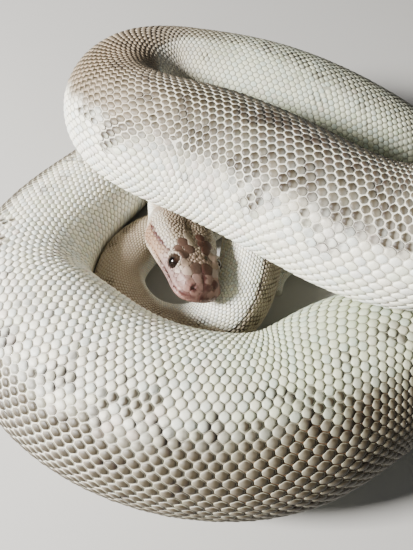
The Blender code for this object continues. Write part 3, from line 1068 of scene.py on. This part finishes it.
def sleekness(place, angle):
    """Where the scales lie almost flat: inside the last fold, from 0 to 1."""
    turned = np.degrees(angle)
    along = window(place, LEFT_FOLD + 20, LEFT_FOLD + 60, BACK + 25, BACK + 120)
    inside = bump(place - LEFT_FOLD - 45.0, 40.0) * smooth(45.0, 70.0, turned)
    return np.maximum(along * smooth(28.0, 60.0, np.abs(turned)), inside)


def lay_scales(name, scales, rings):
    """One piece of the coat: a template laid on the surface at each place."""
    place, angle, wide = scales.T
    count = len(place)
    rng = np.random.default_rng(int(abs(place[0]) * 7) + len(name))
    length = np.interp(place, samples, scale_length)
    sleek = sleekness(place, angle)
    size = 1 + SIZE_SPREAD * (rng.random(count) - 0.5)
    tall = RISE * length * (LEAST_HEIGHT + HEIGHT_SPREAD * rng.random(count))
    tall = tall * (1 - SLEEK_LOSS * sleek)
    turn = TURN_SPREAD * (rng.random(count) - 0.5)
    rooted = coat_depth(place) / MM
    layers = []
    for outline, height in [*rings, (np.zeros((1, 2)), 1.0)]:
        a = outline[:, 0][None, :] * size[:, None]
        b = outline[:, 1][None, :] * size[:, None]
        a, b = a - turn[:, None] * b, b + turn[:, None] * a
        shifted = a + (TOP_AFT if height > 0.9 else 0.0)
        where = np.clip(place[:, None] + shifted * length[:, None], *PLACE_RANGE)
        around = angle[:, None] + b * wide[:, None]
        around = (around + math.pi) % (2 * math.pi) - math.pi
        spot, normal = on_surface(where, around)
        tilted = height + TILT * a * (height > 0.2)
        rise = (tilted * tall[:, None] - rooted[:, None]) * MM
        level = height + SLEEK_SHINE * sleek[:, None] + 0 * a
        layers.append((spot + normal * rise[..., None], where, around, level, a, b))
    points, where, around, level, a, b = (np.concatenate(part, axis=1) for part in zip(*layers))
    points[..., 2] = np.maximum(points[..., 2], FLOOR_GAP)
    lot = rng.random(count)
    per = points.shape[1]
    tan, grey, brown, _ = markings(place, angle, on_surface(place, angle)[0])
    dark = markings(where, around, points)[3]
    marks = [np.repeat(values, per) for values in (tan, grey, brown)] + [dark.ravel()]
    # the fourth number of form is the ivory's painted shade
    form = (level.ravel(), a.ravel() + 0.5, np.repeat(lot, per), np.repeat(painted_shade(place), per))
    first, last = place.min() - MAP_MARGIN, place.max() + MAP_MARGIN
    root = np.stack([(place - first) / (last - first), (angle + math.pi) / (2 * math.pi)], -1)
    spots = root[:, None, :] * MAP_FILL + MAP_EDGE + MAP_COPY * np.stack([a, b], -1)
    joined_piece(name, points, len(rings), marks, form, (0 * dark.ravel(), 0, 0, 0), spots)


def row_scales(first, last):
    """Places, angles and widths of the scales between two lengths."""
    found = []
    count_low, count_high = np.interp([first, last], samples, scale_count)
    for row in range(ROWS_FULL + 1):
        shift = 0.5 * (row % 2)
        numbers = np.arange(math.ceil(count_low - shift), count_high - shift) + shift
        place = np.interp(numbers, scale_count, samples)
        weight = np.interp(place, samples, weights[row]) / (0.5 if row == 0 else 1.0)
        place = place[weight > 0.45]
        angle = np.interp(place, samples, row_angle[row])
        wide = np.interp(place, samples, row_width[row])
        for side in ((1,) if row == 0 else (1, -1)):
            found.append(np.stack([place, side * angle, wide], -1))
    return np.concatenate(found)


# %% [markdown]
# The body's coat is cut into twelve pieces, one for each stretch or half a
# stretch, so that none has too many triangles. The pieces meet between one scale
# and the next, where nothing shows.

# %% The body's scales
COAT_START = -4.0
COAT_STOP = TRUNK - 3
CUTS = (("scales_neck", COAT_START, SMALL_RINGS),
        ("scales_neck_loop", NECK_LOOP, HIDDEN_RINGS),
        ("scales_fore_coil", FORE + 20, SMALL_RINGS),
        ("scales_fore_right", FORE_RIGHT, SMALL_RINGS),
        ("scales_inner_coil", INNER, SMALL_RINGS),
        ("scales_great_coil_left", GREAT, BIG_RINGS),
        ("scales_great_coil_right", GREAT + 165, BIG_RINGS),
        ("scales_right_fold", RIGHT_FOLD, BIG_RINGS),
        ("scales_crossing", CROSSING, BIG_RINGS),
        ("scales_left_fold", LEFT_FOLD - 20, MIDDLE_RINGS),
        ("scales_back", BACK, MIDDLE_RINGS),
        ("scales_tail", VENT, HIDDEN_RINGS))
stops_after = [first for _, first, _ in CUTS[1:]] + [COAT_STOP]
for (name, first, rings), last in zip(CUTS, stops_after):
    lay_scales(name, row_scales(first, last), rings)


# %% [markdown]
# The belly of a snake is closed by one broad plate after another, like slats, on
# which it grips the ground. A plate is a long strip with rounded ends, and it is
# laid by the same helper as the scales, one for every step of the rows.

# %% Belly plates
ACROSS = np.linspace(-0.5, 0.5, 9)
PLATE_END = 0.5 - 0.10 * (2 * ACROSS) ** 4
PLATE = np.concatenate([np.stack([PLATE_END[::-1], ACROSS[::-1]], -1),
                        np.stack([-PLATE_END, ACROSS], -1)])[::-1]
PLATE_RINGS = [(PLATE * (0.98, 0.985), -0.10), (PLATE * (0.80, 0.96), 0.55),
               (PLATE * (0.40, 0.90), 0.70)]


def belly_plates(first, last):
    """Places, angles and widths of the plates across the belly."""
    low, high = np.interp([first, last], samples, scale_count)
    place = np.interp(np.arange(math.ceil(low), high), scale_count, samples)
    wide = math.radians(2 * SCUTE_HALF)
    return np.stack([place, np.full(len(place), math.pi), np.full(len(place), wide)], -1)


for name, first, last in (("belly_plates_front", COAT_START, GREAT),
                          ("belly_plates_middle", GREAT, LEFT_FOLD),
                          ("belly_plates_tail", LEFT_FOLD, COAT_STOP)):
    lay_scales(name, belly_plates(first, last), PLATE_RINGS)


# %% [markdown]
# The head has large plates on the snout and the brow, a row along each lip, a ring
# of small ones round the eye, and beads behind. They don't lie in rows, so they
# are made another way: each plate has a middle and a size, and grows in its own
# plane until it meets its neighbours. The large ones come from a table, which
# also gives each a tone on the left and on the right side.

# %% Head plates: the table
TAUPE, RUST, SOOT, BROWN, PALE, HOLE = "taupe", "rust", "soot", "brown", "pale", "hole"
# behind the snout, aside, above, half size (mm), tone on the left and on the right
HEAD_PLATES = (
    (0.3, 0.0, 1.4, 1.9, PALE, PALE), (0.4, 0.0, -1.9, 1.7, PALE, PALE),
    (2.9, 1.7, 4.9, 1.7, BROWN, PALE), (1.2, 3.9, 2.9, 1.5, PALE, PALE),
    (5.2, 5.5, 5.1, 1.6, RUST, PALE), (6.3, 2.4, 6.7, 2.1, PALE, PALE),
    (10.6, 2.4, 8.0, 2.8, RUST, TAUPE), (9.6, 6.6, 6.9, 2.0, PALE, PALE),
    (13.6, 7.0, 7.6, 1.7, PALE, PALE), (17.2, 6.9, 8.7, 2.3, PALE, TAUPE),
    (20.2, 8.7, 8.6, 2.1, PALE, TAUPE), (19.8, 3.9, 9.8, 2.4, RUST, TAUPE),
    (23.5, 6.0, 10.2, 2.4, RUST, TAUPE), (23.0, 2.5, 10.4, 1.8, RUST, PALE),
    (26.9, 3.0, 10.7, 2.1, RUST, PALE), (15.9, 2.8, 9.2, 1.0, SOOT, PALE),
    (8.2, 9.0, 4.7, 1.6, PALE, PALE), (11.6, 9.8, 5.0, 1.4, PALE, PALE),
)
print("plates in the table:", len(HEAD_PLATES))


# %% [markdown]
# The lip plates follow a line at one height along the head's own rows, at even
# steps. The ring of the eye is a circle of small scales round the eye's axis. The
# eye and the nostril themselves are holes, which bound their neighbours but get
# no plate.

# %% Head plates: lips and eyes
LIPS = ((1.7, 1.45, 2.7), (-2.2, 1.25, 2.4))    # height of the row, half size, spacing
OCULARS = 15                # scales in the ring round each eye
OCULAR_RING, OCULAR_SIZE = 3.55, 0.72           # mm
OCULAR_OUT = 1.6            # how far outside the eye's middle the ring lies, mm
EYE_HOLE, NOSTRIL_HOLE = 2.9, 0.62


def lip_seeds(height, half, spacing, side):
    """Plates in a row along one lip, back to the corner of the mouth."""
    track = np.linspace(0.0, MOUTH_END - 1.0, 400)
    edge = np.stack(head_rows(np.maximum(track, 0.02)), -1)
    wanted = height * np.minimum(1, 0.4 + track / 6)[:, None]
    column = np.argmin(np.abs(edge[..., 2] - wanted) + 100 * (edge[..., 1] < 0), axis=1)
    line = edge[np.arange(len(track)), column]
    run = np.concatenate([[0], np.cumsum(np.linalg.norm(np.diff(line, axis=0), axis=1))])
    seeds = []
    for reach in np.arange(spacing * 1.15, run[-1], spacing):
        behind, aside, above = (np.interp(reach, run, line[:, axis]) for axis in range(3))
        seeds.append(((behind, side * aside, above), half, PALE))
    return seeds


def eye_seeds(side):
    """The ring of scales round an eye, and the holes for the eye and the nostril."""
    axis = Vector(EYE_OUT * (1, side, 1))
    middle = Vector((EYE_AT[0], side * EYE_AT[1], EYE_AT[2])) + axis * OCULAR_OUT
    arm = axis.orthogonal().normalized() * OCULAR_RING
    ring = [middle + Matrix.Rotation(2 * math.pi * step / OCULARS, 3, axis) @ arm
            for step in range(OCULARS)]
    nostril = (NOSTRIL_AT[0], side * NOSTRIL_AT[1], NOSTRIL_AT[2])
    return [(tuple(spot), OCULAR_SIZE, PALE) for spot in ring] + [
        (tuple(middle), EYE_HOLE, HOLE), (nostril, NOSTRIL_HOLE, HOLE)]


def fixed_seeds():
    """Named plates, lips and the ring round each eye: place, half size, tone."""
    seeds = []
    for behind, aside, above, half, left_tone, right_tone in HEAD_PLATES:
        for side, tone in ((1, left_tone), (-1, right_tone)):
            if aside or side > 0:
                seeds.append(((behind, side * aside, above), half, tone))
    for side in (1, -1):
        for height, half, spacing in LIPS:
            seeds += lip_seeds(height, half, spacing, side)
        seeds += eye_seeds(side)
    return seeds


print("plates placed by hand:", len(fixed_seeds()))


# %% [markdown]
# The rest of the head is covered with beads. They are thrown at random with a
# fixed seed, and a bead stays only where it isn't too near to another. They are
# large on the snout, smaller on the crown and smallest at the neck, where the
# rows of the body take over.

# %% Head plates: beads
TRIES = 26000
CROWDING = 0.84             # least distance as a share of two half sizes
# half size of the beads at some distances behind the snout, mm
TOP_GRAIN = ((0, 10, 14, 24, 32, 40, 48), (1.4, 1.3, 0.80, 0.72, 0.66, 0.60, 0.56))
FLANK_GRAIN = ((0, 14, 24, 34, 42, 48), (1.2, 1.1, 1.0, 0.9, 0.68, 0.56))
CHIN_GRAIN = ((0, 8, 20, 36, 48), (1.1, 1.3, 1.2, 0.9, 0.60))


def grain_of(behind, aside, above):
    """Half size of the beads at a place on the head, mm."""
    top, flank, under = (np.interp(behind, *grain)
                         for grain in (TOP_GRAIN, FLANK_GRAIN, CHIN_GRAIN))
    share = smooth(7.0, 10.5, np.abs(aside)) * (1 - smooth(5.5, 8.0, above))
    size = top * (1 - share) + flank * share
    low = smooth(-2.5, -4.0, above)
    return size * (1 - low) + under * low


def scatter_beads(places, halves):
    """Beads thrown at random, none nearer to another than their sizes allow."""
    rng = np.random.default_rng(5)
    angle = rng.uniform(-math.pi, math.pi, TRIES)
    place = rng.uniform(-HEAD_LENGTH + 1.0, 0.5, TRIES)
    local = np.stack(head_place(on_surface(place, angle)[0]), -1)
    table = np.zeros((TRIES + len(places), 4))
    count = len(places)
    table[:count, :3], table[:count, 3] = places, halves
    for spot, half in zip(local, grain_of(*local.T)):
        gap = np.sum((table[:count, :3] - spot) ** 2, axis=1)
        if np.all(gap > ((table[:count, 3] + half) * CROWDING) ** 2):
            table[count, :3], table[count, 3] = spot, half
            count += 1
    return table[:count, :3], table[:count, 3]


print("bead sizes on top: %.2f to %.2f mm" % (min(TOP_GRAIN[1]), max(TOP_GRAIN[1])))


# %% [markdown]
# A plate's edge lies where two neighbours' sizes balance. Taking the pull of all
# neighbours together with a high power gives corners that are rounded, as on real
# plates, and not the sharp ones of a plain cell pattern. The beads then move to
# the middle of their own cells three times, which evens them out.

# %% Head plates: how far they reach
SOFTNESS = 9.0              # higher values give sharper corners
NEAR = 24                   # neighbours that can bound a plate
FAR_AWAY = 1e9
LEAST_EDGE = 0.12           # mm
MOST_GROWTH = 1.7           # the largest reach as a share of the half size
SETTLINGS = 3

head_count = int(np.sum(row_place < 6.0))
head_faces = [(row * COLUMNS + column, row * COLUMNS + (column + 1) % COLUMNS,
               (row + 1) * COLUMNS + (column + 1) % COLUMNS, (row + 1) * COLUMNS + column)
              for row in range(head_count - 1) for column in range(COLUMNS)]
head_surface = BVHTree.FromPolygons([Vector(p) for p in grid[:head_count].reshape(-1, 3)],
                                    head_faces)


def on_head(seeds):
    """Nearest places on the head's outline and the normals there, in the head's directions."""
    found = [head_surface.find_nearest(Vector(p)) for p in head_point(*seeds.T) * MM]
    spots, normals = np.array([f[0] for f in found]), np.array([f[1] for f in found])
    return np.stack(head_place(spots), -1), normals @ HEAD_AXES.T


def compass(corners):
    """Directions all round, as rows of two shares."""
    turn = np.linspace(0, 2 * math.pi, corners, endpoint=False)
    return np.stack([np.cos(turn), np.sin(turn)], -1)


def cell_reach(index, seeds, normals, halves, directions):
    """How far a plate reaches in each direction in its own plane."""
    offset = seeds - seeds[index]
    gap = np.sum(offset ** 2, axis=1)
    gap[index] = FAR_AWAY
    gap[normals @ normals[index] < 0.0] = FAR_AWAY
    near = np.argsort(gap)[:NEAR]
    normal = Vector(normals[index])
    first = normal.cross(Vector((0, 0, 1)) if abs(normal.z) < 0.9 else Vector((0, 1, 0)))
    first.normalize()
    first, second = np.array(first), np.array(normal.cross(first))
    flat = np.stack([offset[near] @ first, offset[near] @ second], -1)
    far = np.linalg.norm(flat, axis=1) + 1e-6
    length = np.sqrt(gap[near])
    edge = (length ** 2 + halves[index] ** 2 - halves[near] ** 2) / (2 * length)
    facing = np.maximum(directions @ (flat / far[:, None]).T, 0.0)
    pull = np.sum((facing / np.maximum(edge, LEAST_EDGE)) ** SOFTNESS, axis=1)
    pull += (1 / (MOST_GROWTH * halves[index])) ** SOFTNESS
    return pull ** (-1 / SOFTNESS), first, second


def settled_plates():
    """All the head's plates: places, normals, half sizes and tones."""
    fixed = fixed_seeds()
    places, _ = on_head(np.array([spot for spot, _, _ in fixed]))
    tones = [tone for _, _, tone in fixed]
    for index, tone in enumerate(tones):
        if tone == HOLE:
            places[index] = fixed[index][0]
    seeds, halves = scatter_beads(places, [half for _, half, _ in fixed])
    tones += [PALE] * (len(seeds) - len(tones))
    directions = compass(12)
    for _ in range(SETTLINGS):
        _, normals = on_head(seeds)
        moved = seeds.copy()
        for index in range(len(fixed), len(seeds)):
            reach, first, second = cell_reach(index, seeds, normals, halves, directions)
            shift = (directions * reach[:, None] ** 3).sum(0) / (reach ** 2).sum() * 2 / 3
            moved[index] += (first * shift[0] + second * shift[1])
        seeds[len(fixed):] = on_head(moved[len(fixed):])[0]
    return seeds, on_head(seeds)[1], halves, tones


seeds, seed_normals, halves, tones = settled_plates()
print("plates and beads settled:", len(seeds))


# %% [markdown]
# Each plate is then raised: rings of its outline, each a little further in and a
# little higher, are dropped on the head's surface along the plate's own normal. A
# plate's tone replaces some of the shares of its place. Pale plates keep them; a
# few turn brown by lot, and those on a dark line turn dark.

# %% Head plates: building them
LARGE = 1.15                # half size from which a plate is large, mm
PLATE_HEIGHT = 0.27
LARGE_OVERLAP, SMALL_OVERLAP = 0.06, -0.055
REACH_SHARE = 1.05
LEAST_REACH = 0.05          # mm
DROP_FROM, DROP_DEPTH = 0.0025, 0.006           # m above the head, m of fall
# rings: share of the reach, how far further in (mm), height as a share
LARGE_RINGS = ((1, 0.0, -0.12), (1, 0.07, 0.80), (1, 0.22, 0.96), (0.53, 0.0, 1.0))
BEAD_RINGS = ((1, 0.0, -0.12), (1, 0.20, 0.72), (0.45, 0.0, 0.96))
COAT_END = 46.6             # where the head's plates give way to the rows
# shares that each tone sets; the others stay those of the place
TONE_SHARES = {TAUPE: {"tan": 0.0, "grey": 0.9, "brown": 0.1, "pink": 0.30, "rust": 0.30},
               RUST: {"brown": 0.1, "pink": 0.3, "rust": 0.95},
               BROWN: {"brown": 0.1, "rust": 0.30},
               SOOT: {"brown": 1.0, "rust": 1.0}, PALE: {}}


def plate_shares(spot, tone, lot):
    """The marks and the blush of one plate."""
    shares = dict(zip(("tan", "grey", "brown", "dark"), head_marks(*spot)))
    shares.update(zip(("pink", "peach", "lilac"), head_blush(*spot)), rust=0.0)
    shares.update(TONE_SHARES[tone])
    if tone == PALE:
        shares["tan"] *= 0.6 + 0.4 * lot
        chosen = lot > 0.66 and spot[0] < 36
        shares["brown"] = max(shares["brown"], 0.6 * shares["tan"] * chosen)
        shares["dark"] = max(shares["dark"], 0.8 * (head_lines(*spot) > 0.75))
    return [float(shares[name]) for name in
            ("tan", "grey", "brown", "dark", "pink", "peach", "lilac", "rust")]


def dropped(spot, upward):
    """Where a point falls on the head along a plate's normal, and the normal there."""
    hit, normal, _, _ = head_surface.ray_cast(spot + upward * DROP_FROM, -upward, DROP_DEPTH)
    if hit is None:
        hit, normal, _, _ = head_surface.find_nearest(spot)
    return hit, (normal + upward).normalized()


def plate_points(index, rings, directions, height):
    """One plate's points, and their places in its own plane."""
    reach, first, second = cell_reach(index, seeds, seed_normals, halves, directions)
    reach = reach * REACH_SHARE + (LARGE_OVERLAP if halves[index] >= LARGE else SMALL_OVERLAP)
    centre = head_point(*seeds[index]) * MM
    plane = np.array([first, second]) @ HEAD_AXES
    upward = Vector(seed_normals[index] @ HEAD_AXES)
    flat = [directions * np.maximum(reach * share - inset, LEAST_REACH)[:, None]
            for share, inset, _ in rings] + [np.zeros((1, 2))]
    levels = np.repeat([level for _, _, level in rings] + [1.0], [len(ring) for ring in flat])
    flat, points = np.concatenate(flat), []
    for spot, level in zip(centre + flat @ plane * MM, levels):
        hit, outward = dropped(Vector(spot), upward)
        points.append(hit + outward * ((level * height - HEAD_COAT) * MM))
    return np.array(points), flat, levels


def lay_plates(name, chosen, corners, rings):
    """One piece of domed plates, each fitted between its neighbours."""
    rng = np.random.default_rng(corners)
    directions = compass(corners)
    points, flat, levels, shares, lots = [], [], [], [], []
    for index in chosen:
        lots.append(rng.random())
        height = PLATE_HEIGHT * (0.92 + 0.16 * rng.random())
        for found, part in zip((points, flat, levels),
                               plate_points(index, rings, directions, height)):
            found.append(part)
        shares.append(plate_shares(seeds[index], tones[index], lots[-1]))
    points, per = np.array(points), len(levels[0])
    tan, grey, brown, dark, *blush = np.repeat(shares, per, axis=0).T
    dark = np.maximum(dark, head_lines(*head_place(points.reshape(-1, 3))))
    form = (np.concatenate(levels), 0.9, np.repeat(lots, per), -1.0)
    behind, aside, above = seeds[chosen].T
    root = np.stack([behind / 50, np.arctan2(aside, above) / (2 * math.pi) + 0.5], -1)
    spots = root[:, None, :] * 0.98 + 0.01 + 0.0012 * np.array(flat)
    joined_piece(name, points, len(rings), (tan, grey, brown, dark), form, blush, spots)


built = np.array([tone != HOLE and seed[0] < COAT_END for seed, tone in zip(seeds, tones)])
lay_plates("head_plates", np.nonzero(built & (halves >= LARGE))[0], 18, LARGE_RINGS)
lay_plates("head_scales", np.nonzero(built & (halves < LARGE))[0], 9, BEAD_RINGS)


# %% [markdown]
# Each eye is a smooth ball, a little larger than its seat in the skin, so that
# the skin forms a ring round it. A ball python's iris is dark brown with a paler
# upper edge, and its pupil is a narrow upright slit. The slit is drawn with the
# eye's own directions, which each vertex carries as an attribute.

# %% Eyes
EYE_UP = (0.10, -0.28, 1.0)     # the way the slit stands, for the left eye


def build_eye(name, side):
    """A ball with its forward, upward and outward share kept on each vertex."""
    bpy.ops.object.select_all(action="DESELECT")
    bpy.ops.mesh.primitive_ico_sphere_add(subdivisions=5, radius=EYE_RADIUS, calc_uvs=True)
    eye = bpy.context.object
    eye.name = name
    local = np.empty(len(eye.data.vertices) * 3)
    eye.data.vertices.foreach_get("co", local)
    local = local.reshape(-1, 3)
    outward = EYE_OUT * (1, side, 1)
    upward = np.array(EYE_UP) * (1, side, 1)
    upward -= outward * upward.dot(outward)
    upward /= np.linalg.norm(upward)
    axes = (np.cross(outward, upward), upward, outward)
    share = local / EYE_RADIUS
    add_numbers(eye.data, "gaze", *[share @ axis * 0.5 + 0.5 for axis in axes], 1.0)
    place = head_point(EYE_AT[0] + local[:, 0], side * EYE_AT[1] + local[:, 1],
                       EYE_AT[2] + local[:, 2]) * MM
    eye.data.vertices.foreach_set("co", place.astype(np.float32).ravel())
    eye.data.update()
    close_and_smooth()
    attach(eye, "root")
    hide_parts(name)
    print(name + ":", len(eye.data.polygons), "faces")
    return eye


eyes = [build_eye("eye_left", 1), build_eye("eye_right", -1)]


# %% [markdown]
# Skin and scales share one group of colour nodes, because they must agree. Its
# inputs are the numbers that every vertex carries: the shares of tan, grey, brown
# and dark, how high a point lies on its scale and how far towards the tail, a
# random number for each scale, how much painted shade darkens the ivory, and the
# head's pink, peach, lilac and rust. The layers are put on one after another, as a
# painter would.

# %% Coat colours: the group and its ivory
coat_colours = bpy.data.node_groups.new("coat_colours", "ShaderNodeTree")
SOCKETS = {"INPUT": {"Marks": "Color", "Dark": "Float", "Form": "Color", "Shade": "Float",
                     "Blush": "Color", "Rust": "Float", "Place": "Vector"},
           "OUTPUT": {"Colour": "Color", "Roughness": "Float", "Height": "Float"}}
for direction, sockets in SOCKETS.items():
    for name, kind in sockets.items():
        coat_colours.interface.new_socket(name, in_out=direction,
                                          socket_type="NodeSocket" + kind)
given = coat_colours.nodes.new("NodeGroupInput").outputs
result = coat_colours.nodes.new("NodeGroupOutput").inputs
mix = partial(blend_of, coat_colours)
slope = partial(slope_of, coat_colours)
times = partial(sum_of, coat_colours, "MULTIPLY")
times_add = partial(sum_of, coat_colours, "MULTIPLY_ADD")
largest = partial(sum_of, coat_colours, "MAXIMUM")


def noise_of(scale, detail):
    """Noise that runs evenly through the whole coat."""
    made = node(coat_colours, "ShaderNodeTexNoise", Scale=scale, Detail=detail)
    feed(coat_colours, made.inputs["Vector"], given["Place"])
    return made.outputs["Fac"]


tan, grey, brown = parts_of(coat_colours, given["Marks"])
dome_share, aft, lot = parts_of(coat_colours, given["Form"])
grain, soft, broad = noise_of(1400.0, 3.0), noise_of(170.0, 3.0), noise_of(38.0, 2.0)

ramp = node(coat_colours, "ShaderNodeValToRGB")
feed(coat_colours, ramp.inputs[0], times_add(broad, 0.5, times(lot, 0.6)))
IVORIES = ((0.20, (221, 225, 205)), (0.40, (238, 234, 216)), (0.58, (234, 233, 221)),
           (0.74, (219, 225, 218)), (0.90, (232, 220, 208)))
steps = ramp.color_ramp.elements
steps[0].position, steps[1].position = IVORIES[0][0], IVORIES[-1][0]
for position, _ in IVORIES[1:-1]:
    steps.new(position)
for step, (_, ivory) in zip(steps, IVORIES):
    step.color = tint(*ivory)
# painted shade: the Shade number multiplies the ivory towards a darker cool green grey
colour = mix(times(given["Shade"], 0.7), ramp.outputs[0], tint(194, 203, 186), "MULTIPLY")
print("ivories:", len(steps))

# %% [markdown]
# On the back each scale has a grey-brown middle and keeps a cream rim, which is
# what makes the pattern look netted. So grey is laid only where the dome is high,
# and a little more on each scale's tailward side, which is painted shade for the
# shaded side of the dome. Tan covers the whole scale, with a painted highlight that
# makes it paler in the middle.

# %% Coat colours: grey and tan
inner = slope(dome_share, 0.20, 0.56)
crest = slope(grey, 0.76, 1.0)
tone = mix(soft, tint(68, 64, 52), tint(110, 104, 87))
tone = mix(crest, tone, tint(60, 51, 39))
tone = mix(times(lot, 0.15), tone, tint(128, 108, 94))
# painted shade: grey grows a little towards each scale's tailward side, for the shaded side of the
# dome
tailward_painted_shade = slope(aft, 0.10, 0.60, 0.80, 1.0)
share = times(slope(grey, 0.0, 0.75), times_add(times(inner, tailward_painted_shade), 0.95, 0.05))
colour = mix(share, colour, tone)
tan_tone = mix(soft, tint(134, 112, 88), tint(180, 160, 136))
# painted highlight: tan scales are paler in the middle of their domes
tan_tone = mix(times(inner, 0.4), tan_tone, tint(196, 180, 156))
colour = mix(times(tan, 0.85), colour, tan_tone)
print("nodes so far:", len(coat_colours.nodes))

# %% [markdown]
# The head's thin skin shows its blood: pink on the snout, peach on the cheeks and
# lilac on the lips, each mottled between a dull and a clear tone. Rust fills the
# middle of the named plates. A warm tint over the whole head takes the green out
# of the ivory and makes the head darker; the head's Shade number is -1, which is
# how the nodes know it.

# %% Coat colours: the head
warmth = slope(given["Shade"], -1.0, 0.0, 0.9, 0.0)
# share of the tone, its dull and its clear colour
FLESH_TONES = ((0.95, (122, 88, 82), (178, 138, 130)), (0.9, (146, 112, 84), (188, 156, 124)),
               (0.85, (122, 96, 98), (176, 148, 146)))
flesh = parts_of(coat_colours, given["Blush"])
for part, (amount, dull, clear) in zip(flesh, FLESH_TONES):
    flesh_tone = mix(soft, tint(*dull), tint(*clear))
    colour = mix(times(part, amount), colour, flesh_tone)
rust_tone = mix(soft, tint(70, 42, 34), tint(108, 70, 58))
colour = mix(times(given["Rust"], inner), colour, rust_tone)
# a warm tint that also darkens the whole head
colour = mix(warmth, colour, tint(198, 186, 179), "MULTIPLY")
print("nodes so far:", len(coat_colours.nodes))

# %% [markdown]
# Brown sits on the middle and the tailward part of a scale; that it is heavier on
# the tailward side is partly the scale's brown and partly painted shade for the
# dome's shaded side. The grooves between the scales are darker than their tops,
# partly the skin's own tone and partly painted shade in the hollows, and darker
# still round scales that are both grey and under the ivory's painted shade. The
# dark marks fill the grooves and the tailward side of their scales, and the darkest
# ones cover them whole. Stretched sleek scales shine a little more, and fine grain
# makes the gloss and the relief uneven.

# %% Coat colours: brown, grooves, dark marks and gloss
# partly brown and partly painted shade: brown is heavier on each scale's tailward side, for the
# shaded side of the dome
brown_and_shade_reach = times(slope(aft, 0.12, 0.62, 0.30, 1.0), slope(dome_share, 0.28, 0.72))
colour = mix(times(brown, brown_and_shade_reach), colour, tint(56, 48, 32))
# partly the skin's darker tone and partly painted shade: the grooves between the scales are
# darkened, more round grey scales under painted shade
low = slope(dome_share, 0.0, 0.42, 1.0, 0.0)
groove_tone_and_shade = times_add(times(given["Shade"], grey), 1.1, times_add(brown, -0.15, 0.42))
groove_tone_and_shade = times_add(grey, -0.22, groove_tone_and_shade)
colour = mix(times(low, groove_tone_and_shade), colour, tint(88, 68, 48))
back_side = times(slope(aft, 0.40, 0.85), 0.6)
reach = largest(slope(dome_share, 0.15, 0.55, 1.0, 0.0), back_side)
reach = largest(reach, slope(given["Dark"], 1.35, 2.0))
reach = largest(reach, warmth)
ragged = slope(soft, 0.35, 0.55, 0.55, 1.0)
dark_tone = mix(warmth, tint(44, 30, 22), tint(72, 36, 32))
colour = mix(times(times(given["Dark"], reach), ragged), colour, dark_tone)
satin = slope(dome_share, 1.0, 1.3, 0.0, -0.12)
rough = sum_of(coat_colours, "ADD", satin, slope(grain, 0.2, 0.8, 0.44, 0.60))
for name, value in (("Colour", colour), ("Roughness", rough),
                    ("Height", times_add(soft, 1.4, grain))):
    feed(coat_colours, result[name], value)
print("coat colours:", len(coat_colours.nodes), "nodes")


# %% [markdown]
# The materials themselves are short. The skin and the scales differ only in how
# strong their fine relief is. The eye is dark, wet and clear-coated, with its slit
# bowed towards the middle, so that it ends in two points.

# %% Materials
GIVEN_FROM = {"Marks": ("marks", "Color"), "Dark": ("marks", "Alpha"),
              "Form": ("form", "Color"), "Shade": ("form", "Alpha"),
              "Blush": ("blush", "Color"), "Rust": ("blush", "Alpha")}


def coat_material(name, relief):
    """Satin skin or scale; the colours come from the shared group."""
    material, tree, shader = new_material(name)
    carried = {kind: node(tree, "ShaderNodeAttribute", attribute_name=kind)
               for kind in ("marks", "form", "blush")}
    where = node(tree, "ShaderNodeTexCoord")
    group = node(tree, "ShaderNodeGroup", node_tree=coat_colours)
    for socket, (kind, output) in GIVEN_FROM.items():
        feed(tree, group.inputs[socket], carried[kind].outputs[output])
    feed(tree, group.inputs["Place"], where.outputs["Object"])
    relief_node = node(tree, "ShaderNodeBump", Strength=relief, Distance=0.0002)
    feed(tree, relief_node.inputs["Height"], group.outputs["Height"])
    for socket, value in (("Base Color", group.outputs["Colour"]),
                          ("Roughness", group.outputs["Roughness"]),
                          ("Normal", relief_node.outputs[0]), ("Specular IOR Level", 0.45)):
        feed(tree, shader.inputs[socket], value)
    return material


def eye_material():
    """Dark iris, upright slit pupil and a wet surface."""
    material, tree, shader = new_material("eye")
    gaze = node(tree, "ShaderNodeAttribute", attribute_name="gaze")
    forward, upward, _ = parts_of(tree, gaze.outputs["Color"])
    off_axis = sum_of(tree, "ABSOLUTE", sum_of(tree, "SUBTRACT", forward, 0.5))
    up = sum_of(tree, "SUBTRACT", upward, 0.5)
    bowed = sum_of(tree, "ADD", sum_of(tree, "MULTIPLY", up, up), off_axis)
    slit = slope_of(tree, bowed, 0.10, 0.15, 1.0, 0.0)
    iris = blend_of(tree, slope_of(tree, upward, 0.60, 0.90), tint(24, 16, 13), tint(52, 36, 26))
    for socket, value in (("Base Color", blend_of(tree, slit, iris, tint(4, 3, 3))),
                          ("Roughness", 0.15), ("Specular IOR Level", 0.2),
                          ("Coat Weight", 0.4), ("Coat Roughness", 0.03)):
        feed(tree, shader.inputs[socket], value)
    return material


skin.data.materials.append(coat_material("snake_skin", 0.5))
scale_look = coat_material("snake_scale", 0.25)
for piece in coats[1:]:
    piece.data.materials.append(scale_look)
eye_look = eye_material()
for eye in eyes:
    eye.data.materials.append(eye_look)
print("pieces with a material:", len(coats) + len(eyes))
